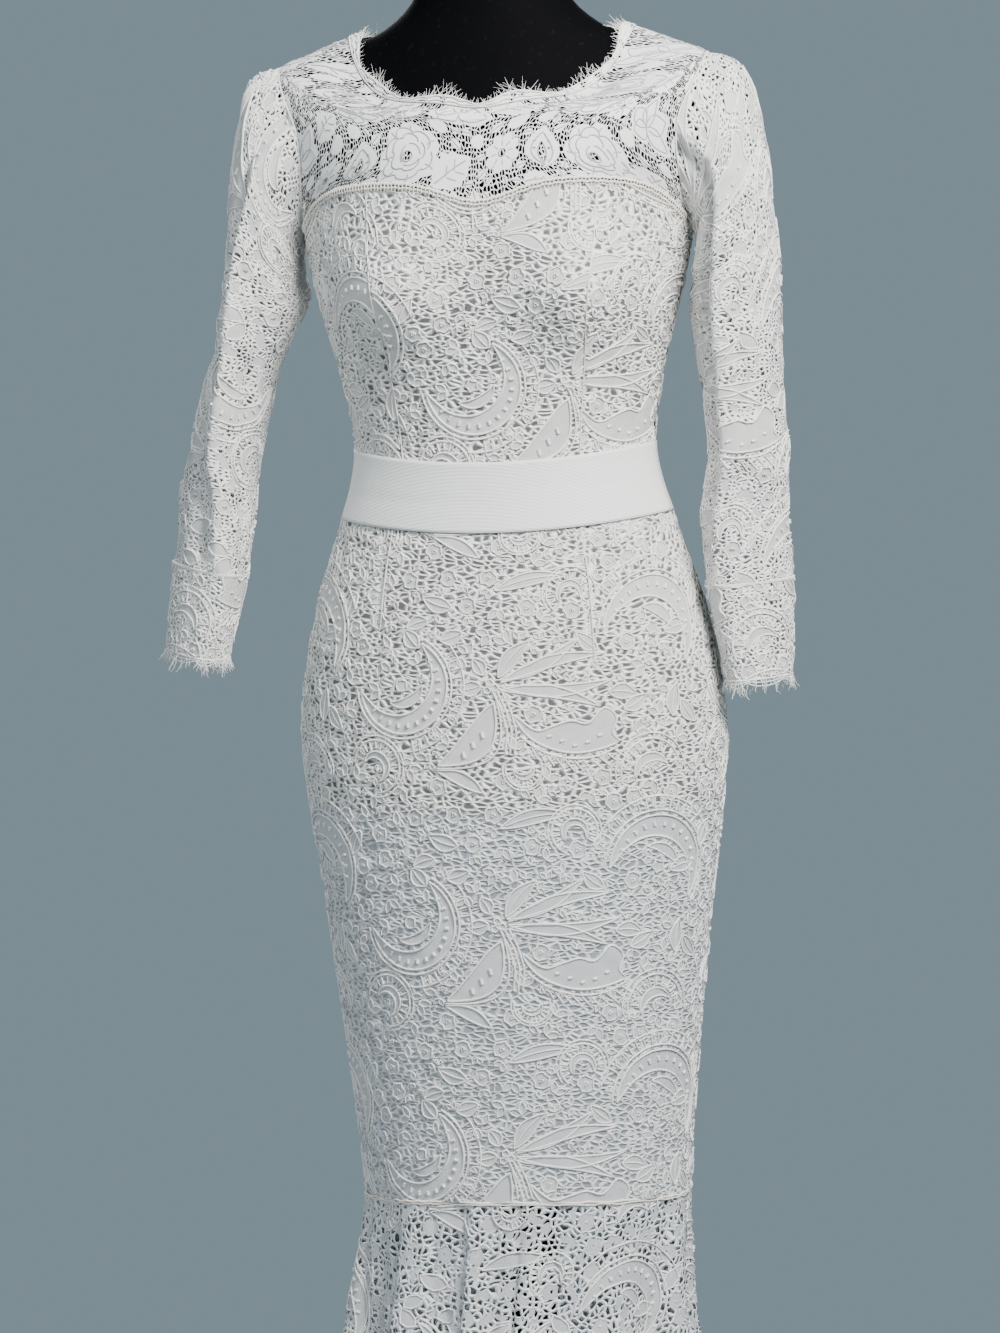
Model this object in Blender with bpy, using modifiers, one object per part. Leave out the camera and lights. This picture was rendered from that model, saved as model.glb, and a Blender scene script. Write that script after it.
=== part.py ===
"""White lace mermaid wedding dress on a black limbless dress form, which stands on a pole and a round foot.

Metres, +Z up, the dress faces -Y. The origin is on the floor under the pole's axis.
Every cloth piece is a flat slab of square cells, cut like a pattern piece, that is then laid on the
figure: its columns run round the figure, its rows run up it, and its thickness stands off it.
"""

import math
from collections import namedtuple

import bmesh
import bpy
from mathutils import Matrix, Vector

# Cloth and gaps
WALL = 0.0010
BELT_WALL = 0.0014
SEAM_HALF_GAP = 0.00016
LAYER_GAP = 0.0004
LINING_OUT = -(WALL + LAYER_GAP)
FORM_OUT = -0.0062
STATION_TRIM = 0.006
MEAN_RADIUS = 0.12
TRIM_ANGLE = math.degrees(SEAM_HALF_GAP / MEAN_RADIUS)
LINING_HEM_ROWS = 0.25

# The figure: one row for each section, from the flounce seam up to the top of the neck.
# Sizes are those of the lace's outer face. rise is how flat the row stays in front before it climbs
# to its height at the side, and dip is how far it drops at the front middle.
Section = namedtuple(
    "Section", "name half_width front back z_front z_side z_back rise dip"
)
SECTIONS = (
    Section("flounce seam", 0.1316, 0.1010, 0.0990, 0.484, 0.476, 0.474, 2, 0.0),
    Section("above knee", 0.1362, 0.1015, 0.1010, 0.538, 0.532, 0.531, 2, 0.0),
    Section("low thigh", 0.1424, 0.1035, 0.1045, 0.596, 0.592, 0.592, 2, 0.0),
    Section("thigh", 0.1502, 0.1060, 0.1090, 0.662, 0.660, 0.660, 2, 0.0),
    Section("high thigh", 0.1584, 0.1085, 0.1145, 0.730, 0.730, 0.730, 2, 0.0),
    Section("seat", 0.1672, 0.1100, 0.1200, 0.795, 0.795, 0.795, 2, 0.0),
    Section("hip", 0.1712, 0.1100, 0.1220, 0.845, 0.845, 0.845, 2, 0.0),
    Section("high hip", 0.1672, 0.1080, 0.1180, 0.895, 0.895, 0.895, 2, 0.0),
    Section("belly", 0.1590, 0.1050, 0.1100, 0.934, 0.935, 0.935, 2, 0.0),
    Section("below belt", 0.1475, 0.0990, 0.1010, 0.972, 0.976, 0.976, 2, 0.0),
    Section("belt foot", 0.1320, 0.0930, 0.0930, 1.010, 1.020, 1.020, 2, 0.0),
    Section("waist seam", 0.1232, 0.0890, 0.0885, 1.038, 1.048, 1.047, 2, 0.0),
    Section("belt top", 0.1196, 0.0875, 0.0875, 1.066, 1.076, 1.074, 2, 0.0),
    Section("ribs", 0.1245, 0.0900, 0.0900, 1.106, 1.112, 1.110, 2, 0.0),
    Section("under bust", 0.1330, 0.0945, 0.0940, 1.149, 1.150, 1.150, 2, 0.0),
    Section("bust", 0.1430, 0.0990, 0.0980, 1.192, 1.188, 1.188, 2, 0.0),
    Section("upper bust", 0.1505, 0.1000, 0.1010, 1.236, 1.218, 1.218, 4, 0.004),
    Section("sweetheart", 0.1555, 0.0985, 0.1030, 1.282, 1.243, 1.243, 8, 0.016),
    Section("low chest", 0.1680, 0.0950, 0.1045, 1.302, 1.292, 1.288, 3, 0.010),
    Section("high chest", 0.1770, 0.0910, 0.1035, 1.317, 1.332, 1.325, 3, 0.008),
    Section("shoulder end", 0.1800, 0.0870, 0.0985, 1.328, 1.364, 1.352, 4, 0.007),
    Section("shoulder", 0.1700, 0.0845, 0.0925, 1.336, 1.380, 1.372, 4, 0.006),
    Section("mid shoulder", 0.1440, 0.0815, 0.0860, 1.341, 1.391, 1.382, 5, 0.006),
    Section("neckline", 0.1150, 0.0780, 0.0785, 1.345, 1.402, 1.391, 6, 0.006),
    Section("neck foot", 0.0880, 0.0650, 0.0700, 1.384, 1.412, 1.414, 2, 0.0),
    Section("neck", 0.0650, 0.0560, 0.0610, 1.432, 1.436, 1.438, 2, 0.0),
    Section("neck top", 0.0620, 0.0580, 0.0600, 1.475, 1.475, 1.475, 2, 0.0),
)
STATION = {section.name: number for number, section in enumerate(SECTIONS)}
DIP_ANGLE = 14.0

# Two cups, shaped by the princess seams
CUP_X = 0.078
CUP_Z = 1.196
CUP_WIDTH = 0.044
CUP_HEIGHT = 0.044
CUP_DEPTH = 0.026

# Columns of a quarter of the figure, in degrees from the front or back middle to the side seam
FRONT_QUARTER = (0, 12, 24, 36, 50, 64, 77, 90)
BACK_QUARTER = (90, 103, 116, 130, 143, 156, 168, 180)
PRINCESS = 36

# Armhole: the half angle that it takes from the side at its widest, and its cells on each side
ARMHOLE_ANGLE = 32.0
HALF_RING = 6
RING_TRIM = 0.006
ARMHOLE_GAP = 0.0004

# Sleeves: one row for each ring, from the armhole to the cuff seam, as distances out from the middle
Ring = namedtuple("Ring", "inner_x inner_z outer_x outer_z half_depth crease")
LEFT_SLEEVE = (
    Ring(0.1585, 1.236, 0.1965, 1.369, 0.055, 0.50),
    Ring(0.1600, 1.221, 0.2080, 1.318, 0.060, 0.55),
    Ring(0.1590, 1.206, 0.2150, 1.262, 0.060, 0.65),
    Ring(0.1580, 1.190, 0.2230, 1.205, 0.057, 0.70),
    Ring(0.1790, 1.146, 0.2320, 1.156, 0.054, 0.62),
    Ring(0.1890, 1.112, 0.2435, 1.124, 0.051, 0.54),
    Ring(0.2010, 1.066, 0.2550, 1.078, 0.048, 0.48),
    Ring(0.2045, 1.030, 0.2650, 1.044, 0.045, 0.36),
    Ring(0.2130, 0.977, 0.2735, 0.989, 0.043, 0.26),
)
RIGHT_SLEEVE = (
    Ring(0.1585, 1.236, 0.1985, 1.366, 0.055, 0.50),
    Ring(0.1580, 1.220, 0.2130, 1.314, 0.060, 0.50),
    Ring(0.1545, 1.203, 0.2190, 1.250, 0.060, 0.50),
    Ring(0.1510, 1.180, 0.2225, 1.188, 0.057, 0.50),
    Ring(0.1565, 1.136, 0.2235, 1.141, 0.054, 0.46),
    Ring(0.1610, 1.102, 0.2245, 1.106, 0.051, 0.42),
    Ring(0.1636, 1.065, 0.2268, 1.069, 0.048, 0.40),
    Ring(0.1560, 1.018, 0.2262, 1.022, 0.045, 0.36),
    Ring(0.1580, 0.961, 0.2278, 0.966, 0.043, 0.28),
)
LEFT_CUFF = (
    Ring(0.2131, 0.9766, 0.27355, 0.9886, 0.0430, 0.26),
    Ring(0.2205, 0.951, 0.2765, 0.963, 0.042, 0.26),
    Ring(0.2270, 0.928, 0.2795, 0.940, 0.041, 0.28),
    Ring(0.2315, 0.909, 0.2815, 0.919, 0.040, 0.30),
)
RIGHT_CUFF = (
    Ring(0.1581, 0.9606, 0.2278, 0.9656, 0.0430, 0.28),
    Ring(0.1630, 0.936, 0.2272, 0.940, 0.042, 0.28),
    Ring(0.1685, 0.908, 0.2258, 0.912, 0.041, 0.30),
    Ring(0.1712, 0.886, 0.2245, 0.889, 0.040, 0.32),
)
LENS = 1.30

# Flounce: how far it spreads from the seam's section, how deep its folds are and how far it hangs
# to the viewer's left, at each height
Drop = namedtuple("Drop", "z spread fold_share sway")
FLOUNCE = (
    Drop(0.4760, 0.0000, 0.10, 0.000),
    Drop(0.430, 0.0020, 0.26, -0.004),
    Drop(0.380, 0.0065, 0.42, -0.009),
    Drop(0.325, 0.0150, 0.56, -0.012),
    Drop(0.265, 0.0285, 0.70, -0.013),
    Drop(0.205, 0.0460, 0.82, -0.013),
    Drop(0.140, 0.0600, 0.92, -0.012),
    Drop(0.080, 0.0720, 0.98, -0.011),
    Drop(0.028, 0.0820, 1.00, -0.010),
)
# The valleys of the gathers, in degrees from the front middle, and their depth at the hem
Fold = namedtuple("Fold", "angle depth")
FOLDS = (
    Fold(-90, 0.012),
    Fold(-54, 0.016),
    Fold(-20, 0.017),
    Fold(-3, 0.011),
    Fold(14, 0.012),
    Fold(55, 0.018),
    Fold(90, 0.012),
    Fold(118, 0.015),
    Fold(146, 0.013),
    Fold(172, 0.015),
    Fold(198, 0.013),
    Fold(224, 0.014),
    Fold(246, 0.011),
    Fold(270, 0.012),
)

# Holes cut through the sheer lace, at the size of its largest gaps, and the mean size of the cells
# that they are cut in
HOLE_WIDTH = 0.0046
HOLE_HEIGHT = 0.0062
YOKE_CELL = (0.020, 0.028)
SLEEVE_CELL = (0.024, 0.044)
CUFF_CELL = (0.022, 0.024)
FLOUNCE_CELL = (0.020, 0.055)
BARE_NET_COLUMNS = (1, 2, 11, 12)
BARE_NET_ROWS = (4, 5, 6)

# Trims
BINDING_OUT = 0.0020
BINDING_WALL = 0.0011
BINDING_HALF_ROWS = 0.09
BORDER_HEIGHT = 0.0050
BORDER_SCALLOP = 0.0030
SCALLOP_ANGLE = 16.0
LASH_LENGTH = 0.0052
LASH_SHARE = 0.22
LASH_TIP = 0.45
CUFF_STRIP = 0.0045
CUFF_LASH = 0.0070
CUFF_LASHES = 12
CUFF_SWAY = 0.0020
LEAST_LASH = 0.5
MOST_LASH = 1.6

# Zip at the centre back
ZIP_STATION = STATION["shoulder"] + 0.5
SLIDER_SIZE = (0.0050, 0.0026, 0.0090)
SLIDER_RISE = 0.0025
EAR_SIZE = (0.0008, 0.0034, 0.0030)
EAR_SINK = 0.0002
PIN_LIFT = 0.0021
PIN_RADIUS = 0.00055
EYE_RADIUS = 0.0015
EYE_BORE = 0.00090
EYE_WIDTH = 0.0028
PULL_LENGTH = 0.0210
PULL_WIDTH = 0.0050
PULL_WALL = 0.0010
PULL_REST = math.radians(11.0)

# Dress form and its stand
FORM_COLUMNS = 28
FORM_FOOT_Z = 0.7940
FORM_FOOT_ROUND = 0.010
FORM_ROUND_ROWS = 0.22
POLE_RADIUS = 0.0225
COLLAR_RADIUS = 0.042
COLLAR_HEIGHT = 0.022
FOOT_RADIUS = 0.165
FOOT_RIM = 0.006
FOOT_RISE = 0.013
HUB_RADIUS = 0.034
HUB_TOP = 0.036
CAP_HEIGHT = 0.020
REST_GAP = 0.0003

WHITE_LACE = (0.86, 0.85, 0.82)
WHITE_SATIN = (0.90, 0.90, 0.89)
WHITE_RIBBON = (0.92, 0.92, 0.92)
BLACK_SHELL = (0.006, 0.006, 0.007)
ZIP_WHITE = (0.85, 0.85, 0.84)


def smooth_between(before, start, end, after, share):
    """Catmull-Rom value between start and end."""
    slope_start = (end - before) / 2
    slope_end = (after - start) / 2
    a = 2 * start - 2 * end + slope_start + slope_end
    b = -3 * start + 3 * end - 2 * slope_start - slope_end
    return ((a * share + b) * share + slope_start) * share + start


def section_at(station):
    """The section at a station, which is a row number of SECTIONS with any fraction."""
    last = len(SECTIONS) - 1
    low = min(max(math.floor(station), 0), last - 1)
    share = station - low
    around = [SECTIONS[min(max(low + step, 0), last)] for step in (-1, 0, 1, 2)]
    values = [smooth_between(*(row[column] for row in around), share) for column in range(1, 9)]
    return Section("between", *values)


def figure_face(angle, station):
    """Point of the lace's outer face, at an angle in degrees from the front middle towards +X."""
    row = section_at(station)
    turn = math.radians(angle)
    across = math.sin(turn)
    ahead = math.cos(turn)
    depth, middle_z = (row.front, row.z_front) if ahead > 0 else (row.back, row.z_back)
    climb = abs(across) ** row.rise if ahead > 0 else across * across
    dip = row.dip * math.exp(-((angle / DIP_ANGLE) ** 2)) if ahead > 0 else 0.0
    x = row.half_width * across
    y = -depth * ahead
    z = middle_z + (row.z_side - middle_z) * climb - dip
    if ahead > 0:
        side = (abs(x) - CUP_X) / CUP_WIDTH
        height = (z - CUP_Z) / CUP_HEIGHT
        y -= CUP_DEPTH * math.exp(-side * side - height * height)
    return Vector((x, y, z))


def figure_point(angle, station, out=0.0):
    """Point of the figure, moved out along its normal."""
    point = figure_face(angle, station)
    step_angle = 0.5
    step_station = 0.05
    round_it = figure_face(angle + step_angle, station) - figure_face(angle - step_angle, station)
    up_it = figure_face(angle, station + step_station) - figure_face(angle, station - step_station)
    return point + round_it.cross(up_it).normalized() * out


def chord_point(columns, angle, station, out=0.0):
    """Point on the straight edge that a panel has between two of its columns."""
    low = max(column for column in columns[:-1] if column <= angle)
    high = min(column for column in columns if column > low)
    share = (angle - low) / (high - low)
    return figure_point(low, station, out).lerp(figure_point(high, station, out), share)


def between(values, position):
    """Value at a fractional index of a list, carried on in a straight line past its ends."""
    low = min(max(math.floor(position), 0), len(values) - 2)
    share = position - low
    return values[low] * (1 - share) + values[low + 1] * share


def armhole_loop(share):
    """Station and half angle of the armhole at a share of the way from its foot (0) to its top (1)."""
    turn = math.pi * share
    span = STATION["shoulder"] - STATION["sweetheart"]
    return (
        STATION["sweetheart"] + span * (1 - math.cos(turn)) / 2,
        ARMHOLE_ANGLE * math.sin(turn),
    )


def armhole_angle(station):
    """Half angle of the armhole at a station."""
    span = STATION["shoulder"] - STATION["sweetheart"]
    share = (station - STATION["sweetheart"]) / span
    return ARMHOLE_ANGLE * math.sqrt(max(0.0, 1 - (2 * share - 1) ** 2))


def squeezed(angle, station):
    """An angle of the uncut figure moved clear of the armhole."""
    side = math.copysign(1, angle)
    from_front = abs(angle)
    keep = 1 - armhole_angle(station) / 90
    if from_front <= 90:
        return side * from_front * keep
    return side * (180 - (180 - from_front) * keep)


# Slabs


def new_object(name, mesh, color, roughness, metallic=0.0):
    """One named object from a bmesh, with a finish of its own."""
    data = bpy.data.meshes.new(name)
    mesh.to_mesh(data)
    mesh.free()
    obj = bpy.data.objects.new(name, data)
    finish(obj, color, roughness, metallic)
    PARTS.objects.link(obj)
    obj.parent = STAND_POINT
    return obj


def finish(obj, color, roughness, metallic=0.0):
    """Gives an object its own Principled material and smooth shading."""
    material = bpy.data.materials.new(obj.name)
    material.use_nodes = True
    shader = material.node_tree.nodes["Principled BSDF"]
    shader.inputs["Base Color"].default_value = (*color, 1.0)
    shader.inputs["Roughness"].default_value = roughness
    shader.inputs["Metallic"].default_value = metallic
    obj.data.materials.append(material)
    obj.data.shade_smooth()
    obj.data.set_sharp_from_angle(angle=math.radians(40))


def flat_slab(columns, rows, holes=None):
    """Flat slab of unit cells, one unit thick, cut through where holes has a size for a cell's index."""
    mesh = bmesh.new()
    bmesh.ops.create_grid(mesh, x_segments=columns, y_segments=rows, size=0.5)
    for vert in mesh.verts:
        vert.co.x = (vert.co.x + 0.5) * columns
        vert.co.y = (vert.co.y + 0.5) * rows
    cut = []
    for face in mesh.faces[:]:
        middle = face.calc_center_median()
        size = (holes or {}).get((int(middle.x), int(middle.y)))
        if size:
            cut.append((face, middle, size))
    bmesh.ops.inset_individual(mesh, faces=[face for face, _, _ in cut], thickness=0.25)
    for face, middle, size in cut:
        for vert in face.verts:
            vert.co.x = middle.x + math.copysign(size[0] / 2, vert.co.x - middle.x)
            vert.co.y = middle.y + math.copysign(size[1] / 2, vert.co.y - middle.y)
    bmesh.ops.delete(mesh, geom=[face for face, _, _ in cut], context="FACES_ONLY")
    bmesh.ops.triangulate(mesh, faces=mesh.faces[:], quad_method="FIXED")
    bmesh.ops.solidify(mesh, geom=mesh.faces[:], thickness=1.0)
    return mesh


def lay(mesh, place):
    """Moves a slab's points to their places, from column, row and depth, which is 0 outside and -1 inside."""
    for vert in mesh.verts:
        vert.co = place(*vert.co)
    bmesh.ops.recalc_face_normals(mesh, faces=mesh.faces[:])
    if mesh.calc_volume(signed=True) < 0:
        bmesh.ops.reverse_faces(mesh, faces=mesh.faces[:])


def hole_share(cell_width, cell_height):
    """Size of a hole as a share of its cell."""
    return HOLE_WIDTH / cell_width, HOLE_HEIGHT / cell_height


def staggered(columns, rows, step, size, first=0):
    """Holes in every so many cells of each row, shifted by two cells from row to row."""
    return {
        (column, row): size
        for row in range(rows)
        for column in range(columns)
        if (column + 2 * row + first) % step == 0
    }


# Panels that lie on the figure


def trimmed(values, trim):
    """A rising list with its two ends brought in for the seams."""
    return (values[0] + trim, *values[1:-1], values[-1] - trim)


def columns_between(start, end):
    """The figure's columns from one angle to another, both on the grid."""
    right = sorted(set(FRONT_QUARTER) | set(BACK_QUARTER))
    grid = sorted({-angle for angle in right} | set(right))
    return [angle for angle in grid if start <= angle <= end]


def panel(name, angles, stations, out, wall, look, sheer=False, holes=None):
    """A cloth piece on the figure between two seams, with its outer face at out."""
    angles = trimmed(angles, TRIM_ANGLE)
    gapped = trimmed(stations, STATION_TRIM)
    mesh = flat_slab(len(angles) - 1, len(stations) - 1, holes)

    def place(column, row, depth):
        angle = between(angles, column)
        if sheer:
            angle = squeezed(angle, between(stations, row))
        return figure_point(angle, between(gapped, row), out + depth * wall)

    lay(mesh, place)
    return new_object(name, mesh, *look)


LACE = (WHITE_LACE, 0.85)
SATIN = (WHITE_SATIN, 0.55)
RIBBON = (WHITE_RIBBON, 0.60)
SHELL = (BLACK_SHELL, 0.18)

FRONT = (-90, 90)
BACK_RIGHT = (90, 180)
BACK_LEFT = (-180, -90)


def stations_of(first, last):
    """Every station from one named section to another."""
    return list(range(STATION[first], STATION[last] + 1))


def build_lining():
    """Bodice lining up to the sweetheart edge, and skirt lining down to just above the flounce."""
    bodice = stations_of("waist seam", "sweetheart")
    skirt = stations_of("flounce seam", "waist seam")
    skirt[0] += LINING_HEM_ROWS
    for place_name, angles in (("front", FRONT), ("back_left", BACK_LEFT), ("back_right", BACK_RIGHT)):
        columns = columns_between(*angles)
        panel(f"bodice_lining_{place_name}", columns, bodice, LINING_OUT, WALL, SATIN)
        panel(f"skirt_lining_{place_name}", columns, skirt, LINING_OUT, WALL, SATIN)


def build_fitted_lace():
    """Lace over the lining: a bodice in five panels, and a skirt in three."""
    bodice = stations_of("waist seam", "sweetheart")
    skirt = stations_of("flounce seam", "waist seam")
    for place_name, angles in (
        ("front_centre", (-PRINCESS, PRINCESS)),
        ("side_front_left", (-90, -PRINCESS)),
        ("side_front_right", (PRINCESS, 90)),
        ("back_left", BACK_LEFT),
        ("back_right", BACK_RIGHT),
    ):
        panel(f"bodice_lace_{place_name}", columns_between(*angles), bodice, 0.0, WALL, LACE)
    for place_name, angles in (("front", FRONT), ("back_left", BACK_LEFT), ("back_right", BACK_RIGHT)):
        panel(f"skirt_lace_{place_name}", columns_between(*angles), skirt, 0.0, WALL, LACE)


def yoke_stations():
    """Rows of the yoke: those of the armhole's ring, then the shoulder and the neckline."""
    ring = [armhole_loop(cell / HALF_RING)[0] for cell in range(HALF_RING + 1)]
    return ring + [STATION["mid shoulder"], STATION["neckline"]]


def build_yoke():
    """Sheer lace from the sweetheart edge to the neckline, cut round the armholes."""
    stations = yoke_stations()
    shoulder_holes = hole_share(*YOKE_CELL)
    net_cells = [(column, row) for column in BARE_NET_COLUMNS for row in BARE_NET_ROWS]
    for place_name, angles in (("front", FRONT), ("back_left", BACK_LEFT), ("back_right", BACK_RIGHT)):
        columns = columns_between(*angles)
        holes = {}
        if place_name == "front":
            holes = {cell: shoulder_holes for cell in net_cells}
        panel(f"yoke_{place_name}", columns, stations, 0.0, WALL, LACE, True, holes)


def build_belt():
    """Ribbon band over the waist seam, closed at the centre back with the zip."""
    stations = stations_of("belt foot", "belt top")
    out = LAYER_GAP + BELT_WALL
    for place_name, angles in (("front", FRONT), ("back_left", BACK_LEFT), ("back_right", BACK_RIGHT)):
        panel(f"belt_{place_name}", columns_between(*angles), stations, out, BELT_WALL, RIBBON)


def build_binding():
    """Corded strip over the sweetheart seam."""
    seam = STATION["sweetheart"]
    stations = [seam - BINDING_HALF_ROWS, seam, seam + BINDING_HALF_ROWS]
    for place_name, angles in (("front", (-77, 77)), ("back_left", (-180, -103)), ("back_right", (103, 180))):
        columns = columns_between(*angles)
        panel(f"binding_{place_name}", columns, stations, BINDING_OUT, BINDING_WALL, LACE)


# Strips with lashes


def lash_columns(start, end, count):
    """Column edges from start to end, with a narrow column for each lash in the middle of its share."""
    pitch = (end - start) / count
    edges = [start]
    for number in range(count):
        middle = start + (number + 0.5) * pitch
        edges += [middle - pitch * LASH_SHARE / 2, middle + pitch * LASH_SHARE / 2]
    return edges + [end]


def lash_slab(columns, length_of):
    """One row of cells, with a tapered lash drawn out of the far side of every second cell."""
    mesh = flat_slab(columns, 1)
    mesh.normal_update()
    rims = [face for face in mesh.faces if face.normal.y > 0.9]
    roots = [face for face in rims if int(face.calc_center_median().x) % 2 == 1]
    drawn = bmesh.ops.extrude_discrete_faces(mesh, faces=roots)["faces"]
    for face in drawn:
        middle = face.calc_center_median()
        for vert in face.verts:
            vert.co.x = middle.x + (vert.co.x - middle.x) * LASH_TIP
            vert.co.z = middle.z + (vert.co.z - middle.z) * LASH_TIP
            vert.co.y += length_of(int(middle.x) // 2)
    return mesh


def uneven(number):
    """A lash's length as a share of the usual one, which changes from lash to lash with no plain rhythm."""
    wave = 0.5 + 0.5 * math.sin(number * 2.4 + math.sin(number * 1.7))
    return LEAST_LASH + (MOST_LASH - LEAST_LASH) * wave


def build_neckline():
    """Scalloped border with eyelash ends, on the yoke's upper edge."""
    seam = STATION["neckline"]
    for place_name, angles, count in (
        ("front", (-89.9, 89.9), 24),
        ("back_left", (-179.9, -90.1), 8),
        ("back_right", (90.1, 179.9), 8),
    ):
        edges = lash_columns(*angles, count)
        yoke_columns = columns_between(round(angles[0]), round(angles[1]))
        mesh = lash_slab(len(edges) - 1, lambda number: uneven(number) * LASH_LENGTH / BORDER_HEIGHT)

        def place(column, row, depth):
            angle = between(edges, column)
            foot = chord_point(yoke_columns, angle, seam)
            along = (chord_point(yoke_columns, angle, seam + 0.1) - foot).normalized()
            normal = chord_point(yoke_columns, angle, seam, 0.01) - foot
            scallop = BORDER_SCALLOP * abs(math.sin(math.radians(angle) * 180 / SCALLOP_ANGLE / 2))
            height = 2 * SEAM_HALF_GAP + row * (BORDER_HEIGHT + scallop)
            return foot + along * height + normal.normalized() * depth * WALL

        lay(mesh, place)
        new_object(f"neckline_border_{place_name}", mesh, *LACE)


# Sleeves


def armhole_point(side, share, out):
    """Point of the armhole's edge, from its foot (0) up the front to its top (1) and down the back (2)."""
    up_front = share <= 1
    station, half_angle = armhole_loop(share if up_front else 2 - share)
    angle = 90 - half_angle if up_front else 90 + half_angle
    point = figure_point(side * angle, station)
    foot = figure_point(side * 90, STATION["sweetheart"])
    top = figure_point(side * 90, STATION["shoulder"])
    middle = (foot + top) / 2
    return point + (middle - point).normalized() * (ARMHOLE_GAP - out)


def ring_point(side, ring, share, out):
    """Point of a sleeve ring, from its inner end (0) along the front to its outer end (1) and back (2)."""
    turn = math.pi * share
    inner = Vector((side * ring.inner_x, 0.0, ring.inner_z))
    outer = Vector((side * ring.outer_x, 0.0, ring.outer_z))
    across = outer - inner
    half = across.length / 2
    middle = (inner + outer) / 2
    sway = math.cos(turn)
    reach = math.copysign(abs(sway) ** LENS, sway)
    ahead = math.sin(turn)
    point = middle - across.normalized() * (half + out) * reach
    if ahead > 0:
        point += across * (ring.crease - 0.5) * ahead * ahead
    point.y = -(ring.half_depth + out) * ahead
    return point


def sleeve_half(name, side, rings, from_armhole, half, holes):
    """Front or back half of a sleeve or cuff."""
    start = 0.0 if half == "front" else 1.0
    shares = [start + cell / HALF_RING for cell in range(HALF_RING + 1)]
    shares = trimmed(shares, RING_TRIM)
    levels = len(rings) + (1 if from_armhole else 0)
    mesh = flat_slab(HALF_RING, levels - 1, holes)

    def level_point(level, share, out):
        if from_armhole and level == 0:
            return armhole_point(side, share, out)
        return ring_point(side, rings[level - (1 if from_armhole else 0)], share, out)

    def place(column, row, depth):
        share = between(shares, column)
        low = min(int(row), levels - 2)
        part = row - low
        out = depth * WALL
        return level_point(low, share, out).lerp(level_point(low + 1, share, out), part)

    lay(mesh, place)
    return new_object(name, mesh, *LACE)


def build_sleeves():
    """Two hanging sleeves and their cuffs, each in a front and a back half."""
    for side_name, side, sleeve, cuff in (
        ("left", -1, LEFT_SLEEVE, LEFT_CUFF),
        ("right", 1, RIGHT_SLEEVE, RIGHT_CUFF),
    ):
        for number, half in enumerate(("front", "back")):
            sleeve_holes = staggered(HALF_RING, len(sleeve), 4, hole_share(*SLEEVE_CELL), number)
            sleeve_holes = {cell: size for cell, size in sleeve_holes.items() if cell[1] > 2}
            sleeve_half(f"sleeve_{side_name}_{half}", side, sleeve, True, half, sleeve_holes)
            cuff_holes = staggered(HALF_RING, len(cuff) - 1, 4, hole_share(*CUFF_CELL), number)
            sleeve_half(f"cuff_{side_name}_{half}", side, cuff, False, half, cuff_holes)
        build_cuff_lashes(side_name, side, cuff[-1])


def build_cuff_lashes(side_name, side, ring):
    """Frayed strip round the foot of a cuff, open by a hair at the underarm seam."""
    edges = lash_columns(0.01, 1.99, CUFF_LASHES)
    mesh = lash_slab(len(edges) - 1, lambda number: uneven(number) * CUFF_LASH / CUFF_STRIP)

    def place(column, row, depth):
        share = between(edges, column)
        point = ring_point(side, ring, share, depth * WALL)
        sway = CUFF_SWAY * math.sin(share * math.pi * 5)
        point.z -= 2 * SEAM_HALF_GAP + row * (CUFF_STRIP + sway * min(row, 1.0))
        return point

    lay(mesh, place)
    new_object(f"cuff_edge_{side_name}", mesh, *LACE)


# Flounce


def fold_columns(first, last):
    """Angles of the flounce's columns between two valleys: each valley, its crest and halfway between."""
    angles = []
    for fold, following in zip(FOLDS[first:last], FOLDS[first + 1 : last + 1]):
        span = following.angle - fold.angle
        angles += [fold.angle + span * quarter / 4 for quarter in range(4)]
    return angles + [FOLDS[last].angle]


def fold_height(angle):
    """How far a full fold stands out from the flounce's mean face at an angle."""
    for fold, following in zip(FOLDS, FOLDS[1:]):
        if fold.angle <= angle <= following.angle:
            share = (angle - fold.angle) / (following.angle - fold.angle)
            depth = fold.depth + (following.depth - fold.depth) * share
            return -depth * math.cos(2 * math.pi * share)
    return 0.0


def flounce_point(angle, level, out):
    """Point of the flounce at a fractional row of FLOUNCE, counted down from the seam."""
    low = min(int(level), len(FLOUNCE) - 2)
    share = level - low
    z, spread, fold_share, sway = (
        FLOUNCE[low][column] * (1 - share) + FLOUNCE[low + 1][column] * share for column in range(4)
    )
    seam = SECTIONS[STATION["flounce seam"]]
    turn = math.radians(angle)
    across = math.sin(turn)
    ahead = math.cos(turn)
    grow = spread + fold_share * fold_height(angle) + out
    depth = (seam.front if ahead > 0 else seam.back) + grow
    seam_z = figure_face(angle, STATION["flounce seam"]).z - REST_GAP
    lift = (seam_z - FLOUNCE[0].z) * (1 - level / (len(FLOUNCE) - 1))
    return Vector(((seam.half_width + grow) * across + sway, -depth * ahead, z + lift))


def build_flounce():
    """Gathered sheer flounce from the knee seam to the hem, front and back."""
    side_seam = [number for number, fold in enumerate(FOLDS) if fold.angle == 90][0]
    rows = len(FLOUNCE) - 1
    for name, first, last in (("front", 0, side_seam), ("back", side_seam, len(FOLDS) - 1)):
        angles = trimmed(fold_columns(first, last), TRIM_ANGLE)
        holes = staggered(len(angles) - 1, rows, 5, hole_share(*FLOUNCE_CELL))
        mesh = flat_slab(len(angles) - 1, rows, holes)

        def place(column, row, depth):
            return flounce_point(between(angles, column), row, depth * WALL)

        lay(mesh, place)
        new_object(f"flounce_{name}", mesh, *LACE)


# Zip


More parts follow.
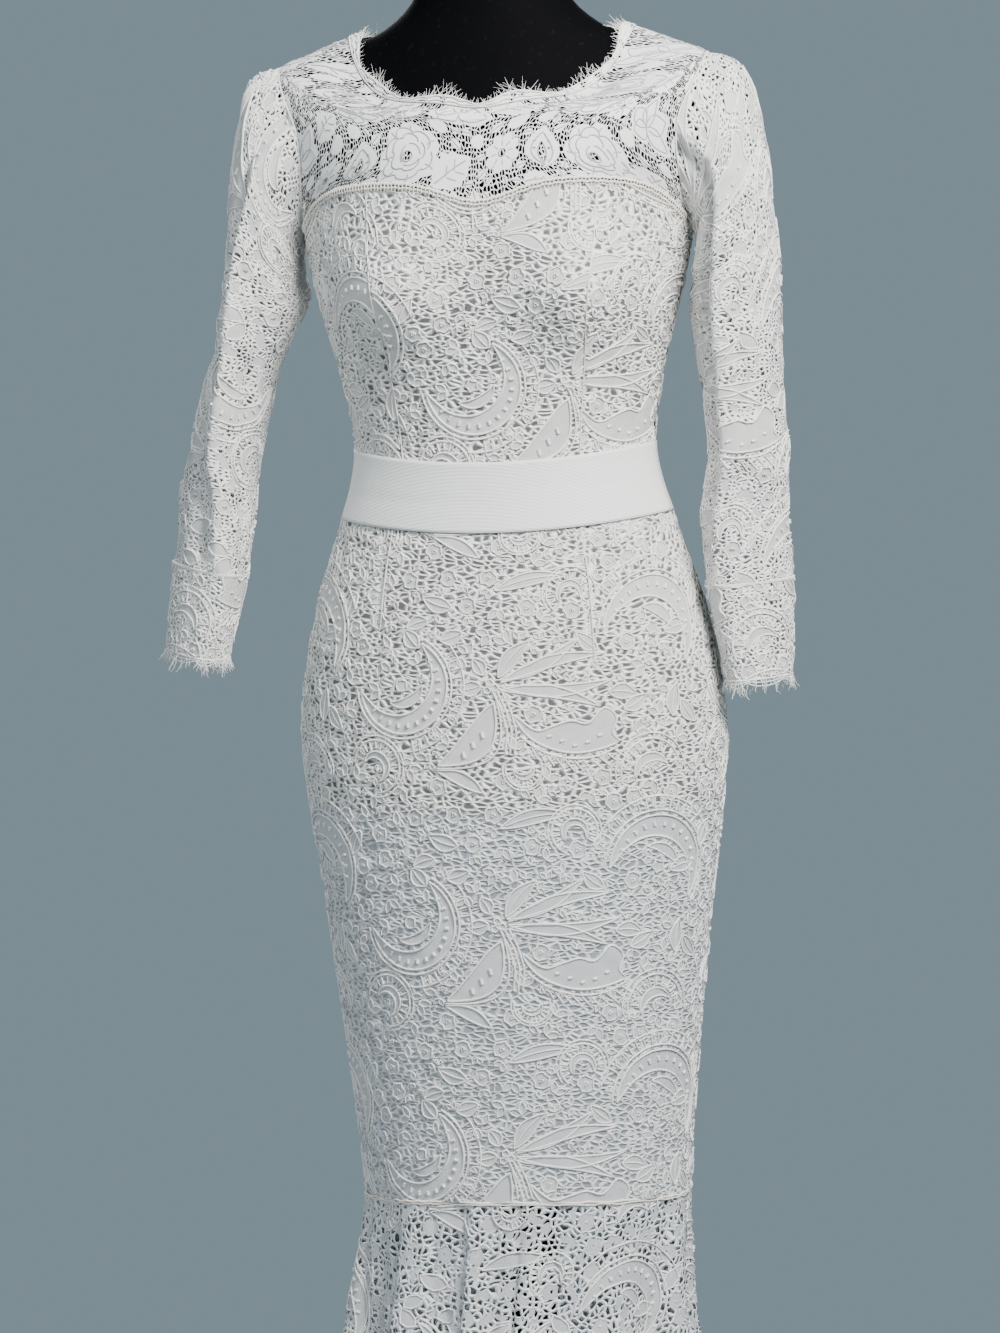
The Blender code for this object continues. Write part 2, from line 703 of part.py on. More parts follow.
def box(size, centre):
    """A bmesh box of a size, about a centre."""
    mesh = bmesh.new()
    bmesh.ops.create_cube(mesh, size=1.0)
    bmesh.ops.scale(mesh, vec=size, verts=mesh.verts)
    bmesh.ops.translate(mesh, vec=centre, verts=mesh.verts)
    return mesh


def rod(radius, length):
    """A bmesh rod along X about the origin."""
    mesh = bmesh.new()
    turn = Matrix.Rotation(math.radians(90), 4, "Y")
    bmesh.ops.create_cone(
        mesh, cap_ends=True, segments=12, radius1=radius, radius2=radius, depth=length, matrix=turn
    )
    return mesh


def joined(name, shapes, look, location, lean, cutters=()):
    """Shapes in the hinge's own axes made one body by Booleans, then placed at the hinge."""
    obj = new_object(name, shapes[0], *look)
    for operation, meshes in (("UNION", shapes[1:]), ("DIFFERENCE", cutters)):
        for number, mesh in enumerate(meshes):
            helper = bpy.data.objects.new(f"{name}_{operation.lower()}_{number}", bpy.data.meshes.new(name))
            mesh.to_mesh(helper.data)
            mesh.free()
            helper.hide_render = True
            helper.display_type = "WIRE"
            CUTTERS.objects.link(helper)
            helper.location = location
            helper.rotation_euler = (lean, 0.0, 0.0)
            step = obj.modifiers.new(helper.name, "BOOLEAN")
            step.operation = operation
            step.object = helper
    obj.location = location
    obj.rotation_euler = (lean, 0.0, 0.0)
    return obj


def build_zip():
    """Slider at the top of the closed centre-back zip, with its pull tab hinged on a pin along X."""
    cloth = figure_point(180, ZIP_STATION)
    normal = (figure_point(180, ZIP_STATION, 0.01) - cloth).normalized()
    lean = math.asin(normal.z)
    half_block = SLIDER_SIZE[1] / 2
    rise = LAYER_GAP + SLIDER_SIZE[1] + PIN_LIFT
    pin = cloth + normal * rise
    block = box(SLIDER_SIZE, (0.0, -PIN_LIFT - half_block, SLIDER_RISE))
    ear_x = EYE_WIDTH / 2 + REST_GAP + EAR_SIZE[0] / 2
    ears = [box(EAR_SIZE, (side * ear_x, -PIN_LIFT / 2 - EAR_SINK, 0.0)) for side in (-1, 1)]
    look = (ZIP_WHITE, 0.45)
    axle = rod(PIN_RADIUS, 2 * ear_x)
    joined("zip_slider", [block, *ears, axle], look, pin, lean)
    tab = box(
        (PULL_WIDTH, PULL_WALL, PULL_LENGTH - EYE_RADIUS * 2),
        (0.0, 0.0, -PULL_LENGTH / 2 - EYE_RADIUS * 1.4),
    )
    neck = box((EYE_WIDTH * 0.9, PULL_WALL, EYE_RADIUS * 4), (0.0, 0.0, -EYE_RADIUS * 2 - EYE_BORE * 0.6))
    joined(
        "zip_pull",
        [rod(EYE_RADIUS, EYE_WIDTH), neck, tab],
        look,
        pin,
        PULL_REST,
        [rod(EYE_BORE, EYE_WIDTH * 3)],
    )


# Dress form and stand


def build_form():
    """Smooth limbless torso inside the dress, with rounded shoulders, a neck and a flat foot."""
    foot = next(
        number + (FORM_FOOT_Z - low.z_side) / (high.z_side - low.z_side)
        for number, (low, high) in enumerate(zip(SECTIONS, SECTIONS[1:]))
        if low.z_side <= FORM_FOOT_Z < high.z_side
    )
    stations = [foot, foot + FORM_ROUND_ROWS]
    stations += range(STATION["hip"], STATION["neck top"] + 1)
    mesh = bmesh.new()
    rows = len(stations) - 1
    bmesh.ops.create_grid(mesh, x_segments=FORM_COLUMNS, y_segments=rows, size=0.5)
    for vert in mesh.verts:
        row = round((vert.co.y + 0.5) * rows)
        angle = -180 + 360 * (vert.co.x + 0.5)
        out = FORM_OUT - (FORM_FOOT_ROUND if row == 0 else 0.0)
        point = figure_point(angle, stations[row], out)
        if row in (0, rows):
            point.z = FORM_FOOT_Z if row == 0 else SECTIONS[-1].z_side
        vert.co = point
    bmesh.ops.remove_doubles(mesh, verts=mesh.verts, dist=0.00001)
    bmesh.ops.holes_fill(mesh, edges=mesh.edges, sides=0)
    bmesh.ops.recalc_face_normals(mesh, faces=mesh.faces)
    new_object("form_torso", mesh, *SHELL)


def turned(name, profile, look, steps=28):
    """Solid of revolution about Z from (radius, height) pairs that run down its outer side."""
    mesh = bmesh.new()
    verts = [mesh.verts.new((radius, 0.0, height)) for radius, height in profile]
    for upper, lower in zip(verts, verts[1:]):
        mesh.edges.new((upper, lower))
    obj = new_object(name, mesh, *look)
    screw = obj.modifiers.new("Turn", "SCREW")
    screw.axis = "Z"
    screw.steps = steps
    screw.render_steps = steps
    screw.use_merge_vertices = True
    screw.merge_threshold = 0.00001
    return obj


def build_stand():
    """Neck cap, collar, pole, hub and round foot, each seated on the next with a hair between them."""
    neck = SECTIONS[-1]
    cap_radius = neck.front + FORM_OUT
    cap_z = neck.z_side + REST_GAP
    cap = turned(
        "form_neck_cap",
        (
            (0.0, CAP_HEIGHT),
            (cap_radius * 0.55, CAP_HEIGHT * 0.88),
            (cap_radius * 0.85, CAP_HEIGHT * 0.55),
            (cap_radius, CAP_HEIGHT * 0.25),
            (cap_radius, 0.0),
            (0.0, 0.0),
        ),
        SHELL,
    )
    cap.location = (0.0, (neck.back - neck.front) / 2, cap_z)
    collar_z = FORM_FOOT_Z - REST_GAP - COLLAR_HEIGHT
    turned(
        "stand_collar",
        (
            (0.0, COLLAR_HEIGHT),
            (COLLAR_RADIUS, COLLAR_HEIGHT),
            (COLLAR_RADIUS, COLLAR_HEIGHT * 0.7),
            (POLE_RADIUS * 1.25, 0.0),
            (0.0, 0.0),
        ),
        SHELL,
    ).location.z = collar_z
    pole_foot = HUB_TOP + REST_GAP
    pole_length = collar_z - REST_GAP - pole_foot
    pole = bmesh.new()
    bmesh.ops.create_cone(
        pole, cap_ends=True, segments=24, radius1=POLE_RADIUS, radius2=POLE_RADIUS, depth=pole_length
    )
    new_object("stand_pole", pole, *SHELL).location.z = pole_foot + pole_length / 2
    turned(
        "stand_foot",
        (
            (0.0, FOOT_RISE),
            (HUB_RADIUS * 1.2, FOOT_RISE),
            (FOOT_RADIUS * 0.80, (FOOT_RISE + FOOT_RIM * 2) / 3 + 0.0012),
            (FOOT_RADIUS, FOOT_RIM),
            (FOOT_RADIUS, 0.0),
            (0.0, 0.0),
        ),
        SHELL,
    )
    hub_foot = FOOT_RISE + REST_GAP
    hub_height = HUB_TOP - hub_foot
    turned(
        "stand_hub",
        (
            (0.0, hub_height),
            (HUB_RADIUS * 0.9, hub_height),
            (HUB_RADIUS, hub_height * 0.8),
            (HUB_RADIUS, 0.0),
            (0.0, 0.0),
        ),
        SHELL,
    ).location.z = hub_foot


def build():
    """Every piece, from the form outwards."""
    build_form()
    build_stand()
    build_lining()
    build_fitted_lace()
    build_yoke()
    build_binding()
    build_neckline()
    build_sleeves()
    build_flounce()
    build_belt()
    build_zip()


for old in list(bpy.data.objects):
    bpy.data.objects.remove(old, do_unlink=True)
PARTS = bpy.data.collections.new("wedding_dress_on_dress_form")
CUTTERS = bpy.data.collections.new("cutters")
bpy.context.scene.collection.children.link(PARTS)
bpy.context.scene.collection.children.link(CUTTERS)
STAND_POINT = bpy.data.objects.new("stand_point", None)
PARTS.objects.link(STAND_POINT)
build()
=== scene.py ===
"""Looks of a white lace wedding dress on a black dress form.

Each cloth piece is a fine sheet on the same figure as its solid, in metres, with the dress facing -Y.
A sheet has flat coordinates of its own, as cut cloth has. The lace's repeat is charted in them, in
millimetres, and gives both the net's motifs and the raised cords that outline them.
"""

import logging
import math
from dataclasses import dataclass, field
from enum import Enum
from typing import Callable, Iterable, Optional

import bmesh
import bpy
import numpy as np
from mathutils import Matrix, Vector


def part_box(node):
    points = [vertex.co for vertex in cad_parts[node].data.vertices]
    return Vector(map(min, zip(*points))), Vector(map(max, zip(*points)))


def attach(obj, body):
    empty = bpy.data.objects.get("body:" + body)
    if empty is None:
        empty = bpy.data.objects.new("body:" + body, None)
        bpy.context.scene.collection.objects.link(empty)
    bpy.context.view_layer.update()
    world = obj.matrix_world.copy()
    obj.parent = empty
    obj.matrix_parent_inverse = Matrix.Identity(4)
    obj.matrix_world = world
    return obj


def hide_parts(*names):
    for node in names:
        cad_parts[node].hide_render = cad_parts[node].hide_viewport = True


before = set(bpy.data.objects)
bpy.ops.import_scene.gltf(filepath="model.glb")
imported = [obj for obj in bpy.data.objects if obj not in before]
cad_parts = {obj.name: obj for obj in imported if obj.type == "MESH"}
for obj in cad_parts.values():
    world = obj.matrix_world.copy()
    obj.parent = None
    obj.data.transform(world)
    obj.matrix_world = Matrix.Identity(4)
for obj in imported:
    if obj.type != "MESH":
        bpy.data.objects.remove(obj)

LOG = logging.getLogger("wedding_dress")
BODY = "dress_and_form"
MM = 0.001
PLAIN_CLOTH = 4.0

Array = np.ndarray
Surface = Callable[[Array, Array], Array]
Socket = bpy.types.NodeSocket
Pair = tuple[float, float]
Triple = tuple[float, float, float]


# The figure under the dress


@dataclass(frozen=True)
class Section:
    """One row of the dressed figure, at the lace's outer face, in metres.

    rise is how flat the row stays in front before it climbs to its height at the side, and dip is how
    far it drops at the front middle.
    """

    half_width: float
    front: float
    back: float
    z_front: float
    z_side: float
    z_back: float
    rise: float = 2.0
    dip: float = 0.0


SECTIONS = {
    "flounce seam": Section(0.1316, 0.1010, 0.0990, 0.484, 0.476, 0.474),
    "above knee": Section(0.1362, 0.1015, 0.1010, 0.538, 0.532, 0.531),
    "low thigh": Section(0.1424, 0.1035, 0.1045, 0.596, 0.592, 0.592),
    "thigh": Section(0.1502, 0.1060, 0.1090, 0.662, 0.660, 0.660),
    "high thigh": Section(0.1584, 0.1085, 0.1145, 0.730, 0.730, 0.730),
    "seat": Section(0.1672, 0.1100, 0.1200, 0.795, 0.795, 0.795),
    "hip": Section(0.1712, 0.1100, 0.1220, 0.845, 0.845, 0.845),
    "high hip": Section(0.1672, 0.1080, 0.1180, 0.895, 0.895, 0.895),
    "belly": Section(0.1590, 0.1050, 0.1100, 0.934, 0.935, 0.935),
    "below belt": Section(0.1475, 0.0990, 0.1010, 0.972, 0.976, 0.976),
    "belt foot": Section(0.1320, 0.0930, 0.0930, 1.010, 1.020, 1.020),
    "waist seam": Section(0.1232, 0.0890, 0.0885, 1.038, 1.048, 1.047),
    "belt top": Section(0.1196, 0.0875, 0.0875, 1.066, 1.076, 1.074),
    "ribs": Section(0.1245, 0.0900, 0.0900, 1.106, 1.112, 1.110),
    "under bust": Section(0.1330, 0.0945, 0.0940, 1.149, 1.150, 1.150),
    "bust": Section(0.1430, 0.0990, 0.0980, 1.192, 1.188, 1.188),
    "upper bust": Section(0.1505, 0.1000, 0.1010, 1.236, 1.218, 1.218, 4, 0.004),
    "sweetheart": Section(0.1555, 0.0985, 0.1030, 1.282, 1.243, 1.243, 8, 0.016),
    "low chest": Section(0.1680, 0.0950, 0.1045, 1.302, 1.292, 1.288, 3, 0.010),
    "high chest": Section(0.1770, 0.0910, 0.1035, 1.317, 1.332, 1.325, 3, 0.008),
    "shoulder end": Section(0.1800, 0.0870, 0.0985, 1.328, 1.364, 1.352, 4, 0.007),
    "shoulder": Section(0.1700, 0.0845, 0.0925, 1.336, 1.380, 1.372, 4, 0.006),
    "mid shoulder": Section(0.1440, 0.0815, 0.0860, 1.341, 1.391, 1.382, 5, 0.006),
    "neckline": Section(0.1150, 0.0780, 0.0785, 1.345, 1.402, 1.391, 6, 0.006),
    "neck foot": Section(0.0880, 0.0650, 0.0700, 1.384, 1.412, 1.414),
    "neck": Section(0.0650, 0.0560, 0.0610, 1.432, 1.436, 1.438),
    "neck top": Section(0.0620, 0.0580, 0.0600, 1.475, 1.475, 1.475),
}
STATION = {name: number for number, name in enumerate(SECTIONS)}


def columns_of(rows: Iterable[object]) -> Array:
    """A table of dataclass rows as an array, with a column for each field."""
    return np.array([[float(value) for value in vars(row).values()] for row in rows])


def smooth(rows: Array, position: Array) -> Array:
    """Catmull-Rom values of a table at fractional row numbers.

    Args:
        rows: The table, its first axis being the row.
        position: Row numbers with any fraction.

    Returns:
        The values, with the table's other axes added to those of position.
    """
    last = len(rows) - 1
    place = np.clip(position, 0, last)
    low = np.minimum(place.astype(int), last - 1)
    share = (place - low).reshape(place.shape + (1,) * (rows.ndim - 1))
    before, start, end, after = (rows[np.clip(low + step, 0, last)] for step in (-1, 0, 1, 2))
    slope_start = (end - before) / 2
    slope_end = (after - start) / 2
    cubic = 2 * start - 2 * end + slope_start + slope_end
    square = -3 * start + 3 * end - 2 * slope_start - slope_end
    return ((cubic * share + square) * share + slope_start) * share + start


def unit(vectors: Array) -> Array:
    """Vectors brought to length one."""
    return vectors / np.maximum(np.linalg.norm(vectors, axis=-1, keepdims=True), 1e-12)


@dataclass
class Figure:
    """The dressed torso as one smooth surface, with its cups and its armholes."""

    dip_angle: float = 14.0
    cup_x: float = 0.078
    cup_z: float = 1.196
    cup_size: float = 0.044
    cup_depth: float = 0.026
    armhole: float = 32.0
    armhole_gap: float = 0.0004
    rows: Array = field(default_factory=lambda: columns_of(SECTIONS.values()))

    def face(self, angle: Array, station: Array) -> Array:
        """Points of the lace's outer face.

        Args:
            angle: Degrees from the front middle towards +X.
            station: Row numbers of SECTIONS.

        Returns:
            The points, on a last axis of three.
        """
        angle, station = np.broadcast_arrays(np.asarray(angle, float), np.asarray(station, float))
        row = np.moveaxis(smooth(self.rows, station), -1, 0)
        half_width, front, back, z_front, z_side, z_back, rise, dip = row
        turn = np.radians(angle)
        across = np.sin(turn)
        ahead = np.cos(turn)
        in_front = ahead > 0
        middle = np.where(in_front, z_front, z_back)
        climb = np.where(in_front, np.abs(across) ** rise, across**2)
        fall = np.where(in_front, dip * np.exp(-((angle / self.dip_angle) ** 2)), 0.0)
        x = half_width * across
        z = middle + (z_side - middle) * climb - fall
        beside = (np.abs(x) - self.cup_x) / self.cup_size
        above = (z - self.cup_z) / self.cup_size
        cup = np.where(in_front, self.cup_depth * np.exp(-(beside**2) - above**2), 0.0)
        y = -np.where(in_front, front, back) * ahead - cup
        return np.stack((x, y, z), axis=-1)

    def point(self, angle: Array, station: Array, out: float = 0.0) -> Array:
        """Points of the figure moved out along its normal by out metres.

        Args:
            angle: Degrees about the body, 0 in front.
            station: The height, as a number of sections.
            out: How far out, in metres.

        Returns:
            The points.
        """
        if out == 0.0:
            return self.face(angle, station)
        angle = np.asarray(angle, float)
        station = np.asarray(station, float)
        around = self.face(angle + 0.5, station) - self.face(angle - 0.5, station)
        upward = self.face(angle, station + 0.05) - self.face(angle, station - 0.05)
        return self.face(angle, station) + unit(np.cross(around, upward)) * out

    def armhole_half(self, station: Array) -> Array:
        """Half angle of the armhole at a station.

        Args:
            station: The height, as a number of sections.

        Returns:
            The half angle, in degrees.
        """
        low = STATION["sweetheart"]
        share = (np.asarray(station, float) - low) / (STATION["shoulder"] - low)
        return self.armhole * np.sqrt(np.maximum(0.0, 1 - (2 * share - 1) ** 2))

    def sheer(self, angle: Array, station: Array, out: float = 0.0) -> Array:
        """Points of the yoke, whose columns are moved clear of the armholes.

        Args:
            angle: Degrees about the body, 0 in front.
            station: The height, as a number of sections.
            out: How far out, in metres.

        Returns:
            The points.
        """
        angle, station = np.broadcast_arrays(np.asarray(angle, float), np.asarray(station, float))
        keep = 1 - self.armhole_half(station) / 90
        from_front = np.abs(angle)
        moved = np.where(from_front <= 90, from_front * keep, 180 - (180 - from_front) * keep)
        return self.point(np.sign(angle) * moved, station, out)

    def armhole_edge(self, side: int, share: Array) -> Array:
        """The armhole's edge, from its foot (0) up the front to its top (1) and down the back (2).

        Args:
            side: -1 for the left and 1 for the right.
            share: Shares of the way, 0 to 2.

        Returns:
            The points.
        """
        rising = np.where(share <= 1, share, 2 - share)
        turn = np.pi * rising
        span = STATION["shoulder"] - STATION["sweetheart"]
        station = STATION["sweetheart"] + span * (1 - np.cos(turn)) / 2
        half = self.armhole * np.sin(turn)
        angle = np.where(share <= 1, 90 - half, 90 + half)
        edge = self.face(side * angle, station)
        foot = self.face(np.array(side * 90.0), np.array(float(STATION["sweetheart"])))
        top = self.face(np.array(side * 90.0), np.array(float(STATION["shoulder"])))
        return edge + unit((foot + top) / 2 - edge) * self.armhole_gap


@dataclass(frozen=True)
class Ring:
    """One ring of a sleeve, by how far its inner and outer ends lie from the middle, in metres."""

    inner_x: float
    inner_z: float
    outer_x: float
    outer_z: float
    half_depth: float
    crease: float


@dataclass
class SleeveForm:
    """A hanging sleeve or cuff as one smooth tube."""

    side: int
    rings: tuple[Ring, ...]
    figure: Optional[Figure] = None
    lens: float = 1.30

    def ring(self, ring: Ring, share: Array) -> Array:
        """Points of one ring, from its inner end (0) along the front to its outer end (1) and back (2).

        Args:
            ring: The ring.
            share: Shares of the way, 0 to 2.

        Returns:
            The points.
        """
        turn = np.pi * share
        inner = np.array((self.side * ring.inner_x, 0.0, ring.inner_z))
        outer = np.array((self.side * ring.outer_x, 0.0, ring.outer_z))
        across = outer - inner
        ahead = np.sin(turn)
        sway = np.cos(turn)
        reach = np.sign(sway) * np.abs(sway) ** self.lens
        shear = np.where(ahead > 0, (ring.crease - 0.5) * ahead**2, 0.0)
        flat = (inner + outer) / 2 + across * (shear - reach / 2)[..., None]
        flat[..., 1] = -ring.half_depth * ahead
        return flat

    def surface(self, share: Array, level: Array) -> Array:
        """Points of the tube at shares of the way round and at ring numbers counted down.

        Args:
            share: Shares of the way round, 0 to 2.
            level: Ring numbers.

        Returns:
            The points.
        """
        share, level = np.broadcast_arrays(np.asarray(share, float), np.asarray(level, float))
        around = share[0]
        loops = [self.ring(ring, around) for ring in self.rings]
        if self.figure:
            loops.insert(0, self.figure.armhole_edge(self.side, around))
        return smooth(np.array(loops), level[:, 0])


LEFT_SLEEVE = (
    Ring(0.1585, 1.236, 0.1965, 1.369, 0.055, 0.50),
    Ring(0.1600, 1.221, 0.2080, 1.318, 0.060, 0.55),
    Ring(0.1590, 1.206, 0.2150, 1.262, 0.060, 0.65),
    Ring(0.1580, 1.190, 0.2230, 1.205, 0.057, 0.70),
    Ring(0.1790, 1.146, 0.2320, 1.156, 0.054, 0.62),
    Ring(0.1890, 1.112, 0.2435, 1.124, 0.051, 0.54),
    Ring(0.2010, 1.066, 0.2550, 1.078, 0.048, 0.48),
    Ring(0.2045, 1.030, 0.2650, 1.044, 0.045, 0.36),
    Ring(0.2130, 0.977, 0.2735, 0.989, 0.043, 0.26),
)
RIGHT_SLEEVE = (
    Ring(0.1585, 1.236, 0.1985, 1.366, 0.055, 0.50),
    Ring(0.1580, 1.220, 0.2130, 1.314, 0.060, 0.50),
    Ring(0.1545, 1.203, 0.2190, 1.250, 0.060, 0.50),
    Ring(0.1510, 1.180, 0.2225, 1.188, 0.057, 0.50),
    Ring(0.1565, 1.136, 0.2235, 1.141, 0.054, 0.46),
    Ring(0.1610, 1.102, 0.2245, 1.106, 0.051, 0.42),
    Ring(0.1636, 1.065, 0.2268, 1.069, 0.048, 0.40),
    Ring(0.1560, 1.018, 0.2262, 1.022, 0.045, 0.36),
    Ring(0.1580, 0.961, 0.2278, 0.966, 0.043, 0.28),
)
LEFT_CUFF = (
    Ring(0.2131, 0.9766, 0.27355, 0.9886, 0.0430, 0.26),
    Ring(0.2205, 0.951, 0.2765, 0.963, 0.042, 0.26),
    Ring(0.2270, 0.928, 0.2795, 0.940, 0.041, 0.28),
    Ring(0.2315, 0.909, 0.2815, 0.919, 0.040, 0.30),
)
RIGHT_CUFF = (
    Ring(0.1581, 0.9606, 0.2278, 0.9656, 0.0430, 0.28),
    Ring(0.1630, 0.936, 0.2272, 0.940, 0.042, 0.28),
    Ring(0.1685, 0.908, 0.2258, 0.912, 0.041, 0.30),
    Ring(0.1712, 0.886, 0.2245, 0.889, 0.040, 0.32),
)


@dataclass(frozen=True)
class Drop:
    """One level of the flounce: its height, spread, share of the full folds and sway, in metres."""

    z: float
    spread: float
    fold_share: float
    sway: float


@dataclass(frozen=True)
class Fold:
    """A valley of the gathers, in degrees from the front middle, and its depth at the hem in metres."""

    angle: float
    depth: float


@dataclass
class FlounceForm:
    """The gathered flounce as one smooth tube that hangs from the knee seam."""

    figure: Figure
    rest_gap: float = 0.0003
    drops: tuple[Drop, ...] = (
        Drop(0.4760, 0.0000, 0.10, 0.000), Drop(0.430, 0.0020, 0.26, -0.004),
        Drop(0.380, 0.0065, 0.42, -0.009), Drop(0.325, 0.0150, 0.56, -0.012),
        Drop(0.265, 0.0285, 0.70, -0.013), Drop(0.205, 0.0460, 0.82, -0.013),
        Drop(0.140, 0.0600, 0.92, -0.012), Drop(0.080, 0.0720, 0.98, -0.011),
        Drop(0.028, 0.0820, 1.00, -0.010),
    )
    folds: tuple[Fold, ...] = (
        Fold(-90, 0.012), Fold(-54, 0.016), Fold(-20, 0.017), Fold(-3, 0.011), Fold(14, 0.012),
        Fold(55, 0.018), Fold(90, 0.012), Fold(118, 0.015), Fold(146, 0.013), Fold(172, 0.015),
        Fold(198, 0.013), Fold(224, 0.014), Fold(246, 0.011), Fold(270, 0.012),
    )

    def fold_height(self, angle: Array) -> Array:
        """How far a full fold stands out from the mean face at an angle.

        Args:
            angle: Degrees about the body, 0 in front.

        Returns:
            The heights, in metres.
        """
        angles, depths = columns_of(self.folds).T
        position = np.interp(angle, angles, np.arange(len(angles)))
        depth = np.interp(angle, angles, depths)
        return -depth * np.cos(2 * np.pi * position)

    def surface(self, angle: Array, level: Array) -> Array:
        """Points at angles from -90 to 270 degrees and at level numbers counted down.

        Args:
            angle: Degrees about the body.
            level: Level numbers.

        Returns:
            The points.
        """
        angle, level = np.broadcast_arrays(np.asarray(angle, float), np.asarray(level, float))
        z, spread, fold_share, sway = np.moveaxis(smooth(columns_of(self.drops), level), -1, 0)
        seam = SECTIONS["flounce seam"]
        turn = np.radians(angle)
        grow = spread + fold_share * self.fold_height(angle)
        depth = np.where(np.cos(turn) > 0, seam.front, seam.back) + grow
        seam_z = self.figure.face(angle, np.array(0.0))[..., 2] - self.rest_gap
        lift = (seam_z - self.drops[0].z) * (1 - level / (len(self.drops) - 1))
        x = (seam.half_width + grow) * np.sin(turn) + sway
        return np.stack((x, -depth * np.cos(turn), z + lift), axis=-1)


# The lace's charts


@dataclass(frozen=True)
class Motif:
    """One shape of a lace repeat, in millimetres.

    A solid motif is filled with close stitching. An open one, drawn on a solid one, is net again. Any
    motif with a cord above zero has its line raised at that radius.
    """

    line: Array
    solid: bool = True
    cord: float = 0.55
    closed: bool = True


def placed(line: Array, at: Pair, turn: float = 0.0) -> Array:
    """A line turned and moved to its place.

    Args:
        line: The points of the line.
        at: Its place, in millimetres.
        turn: Its turn, in degrees.

    Returns:
        The moved line.
    """
    angle = math.radians(turn)
    spin = np.array(((math.cos(angle), math.sin(angle)), (-math.sin(angle), math.cos(angle))))
    return line @ spin + np.array(at)


def rounded(corners: Iterable[Pair], steps: int = 5) -> Array:
    """A smooth closed line through given corners.

    Args:
        corners: The corners, in millimetres.
        steps: Points from one corner to the next.

    Returns:
        The line.
    """
    ring = np.array(list(corners), float)
    looped = np.concatenate((ring[-1:], ring, ring[:2]))
    return smooth(looped, 1 + np.arange(0, len(ring), 1 / steps))


def crescent(radius: float, start: float, end: float, thick: float, steps: int = 30) -> Array:
    """A closed sickle along an arc, pointed at both ends and thick in its middle.

    Args:
        radius: Its radius, in millimetres.
        start: Where its arc starts, in degrees.
        end: Where its arc ends, in degrees.
        thick: Its thickness, in millimetres.
        steps: How many steps it is drawn in.

    Returns:
        The outline.
    """
    share = np.linspace(0, 1, steps)
    outer = arc(radius, start, end, steps)
    inner = outer * (1 - thick / radius * np.sin(np.pi * share) ** 0.7)[:, None]
    return np.concatenate((outer, inner[-2:0:-1]))


def leaf(length: float, width: float, bend: float = 0.0, steps: int = 14) -> Array:
    """A lens outline from its root at zero along +X, bowed sideways by bend of its length.

    Args:
        length: Its length, in millimetres.
        width: Its width, in millimetres.
        bend: Its bow, as a share of its length.
        steps: How many steps it is drawn in.

    Returns:
        The outline.
    """
    share = np.linspace(0, 1, steps)
    bow = bend * length * np.sin(np.pi * share)
    half = width / 2 * np.sin(np.pi * share**0.85)
    upper = np.stack((share * length, bow + half), axis=-1)
    lower = np.stack((share * length, bow - half), axis=-1)
    return np.concatenate((upper, lower[-2:0:-1]))


def midrib(length: float, bend: float = 0.0, steps: int = 8) -> Array:
    """The middle line of a leaf, short of its tip."""
    share = np.linspace(0.08, 0.86, steps)
    return np.stack((share * length, bend * length * np.sin(np.pi * share)), axis=-1)


def rosette(radius: float, petals: int, cut: float = 0.3, steps: int = 8) -> Array:
    """A closed outline of round petals.

    Args:
        radius: Its radius, in millimetres.
        petals: How many petals.
        cut: How deep the notches are, as a share of the radius.
        steps: Points on each petal.

    Returns:
        The outline.
    """
    turn = np.linspace(0, 2 * np.pi, petals * steps, endpoint=False)
    reach = radius * (1 - cut + cut * np.abs(np.sin(petals * turn / 2)) ** 0.6)
    return np.stack((np.cos(turn), np.sin(turn)), axis=-1) * reach[:, None]


def ring_line(radius: float, steps: int = 10) -> Array:
    """A round outline."""
    return rosette(radius, steps, 0.0, 1)


def arc(radius: float, start: float, end: float, steps: int = 12) -> Array:
    """An open arc between two angles in degrees."""
    turn = np.radians(np.linspace(start, end, steps))
    return np.stack((np.cos(turn), np.sin(turn)), axis=-1) * radius


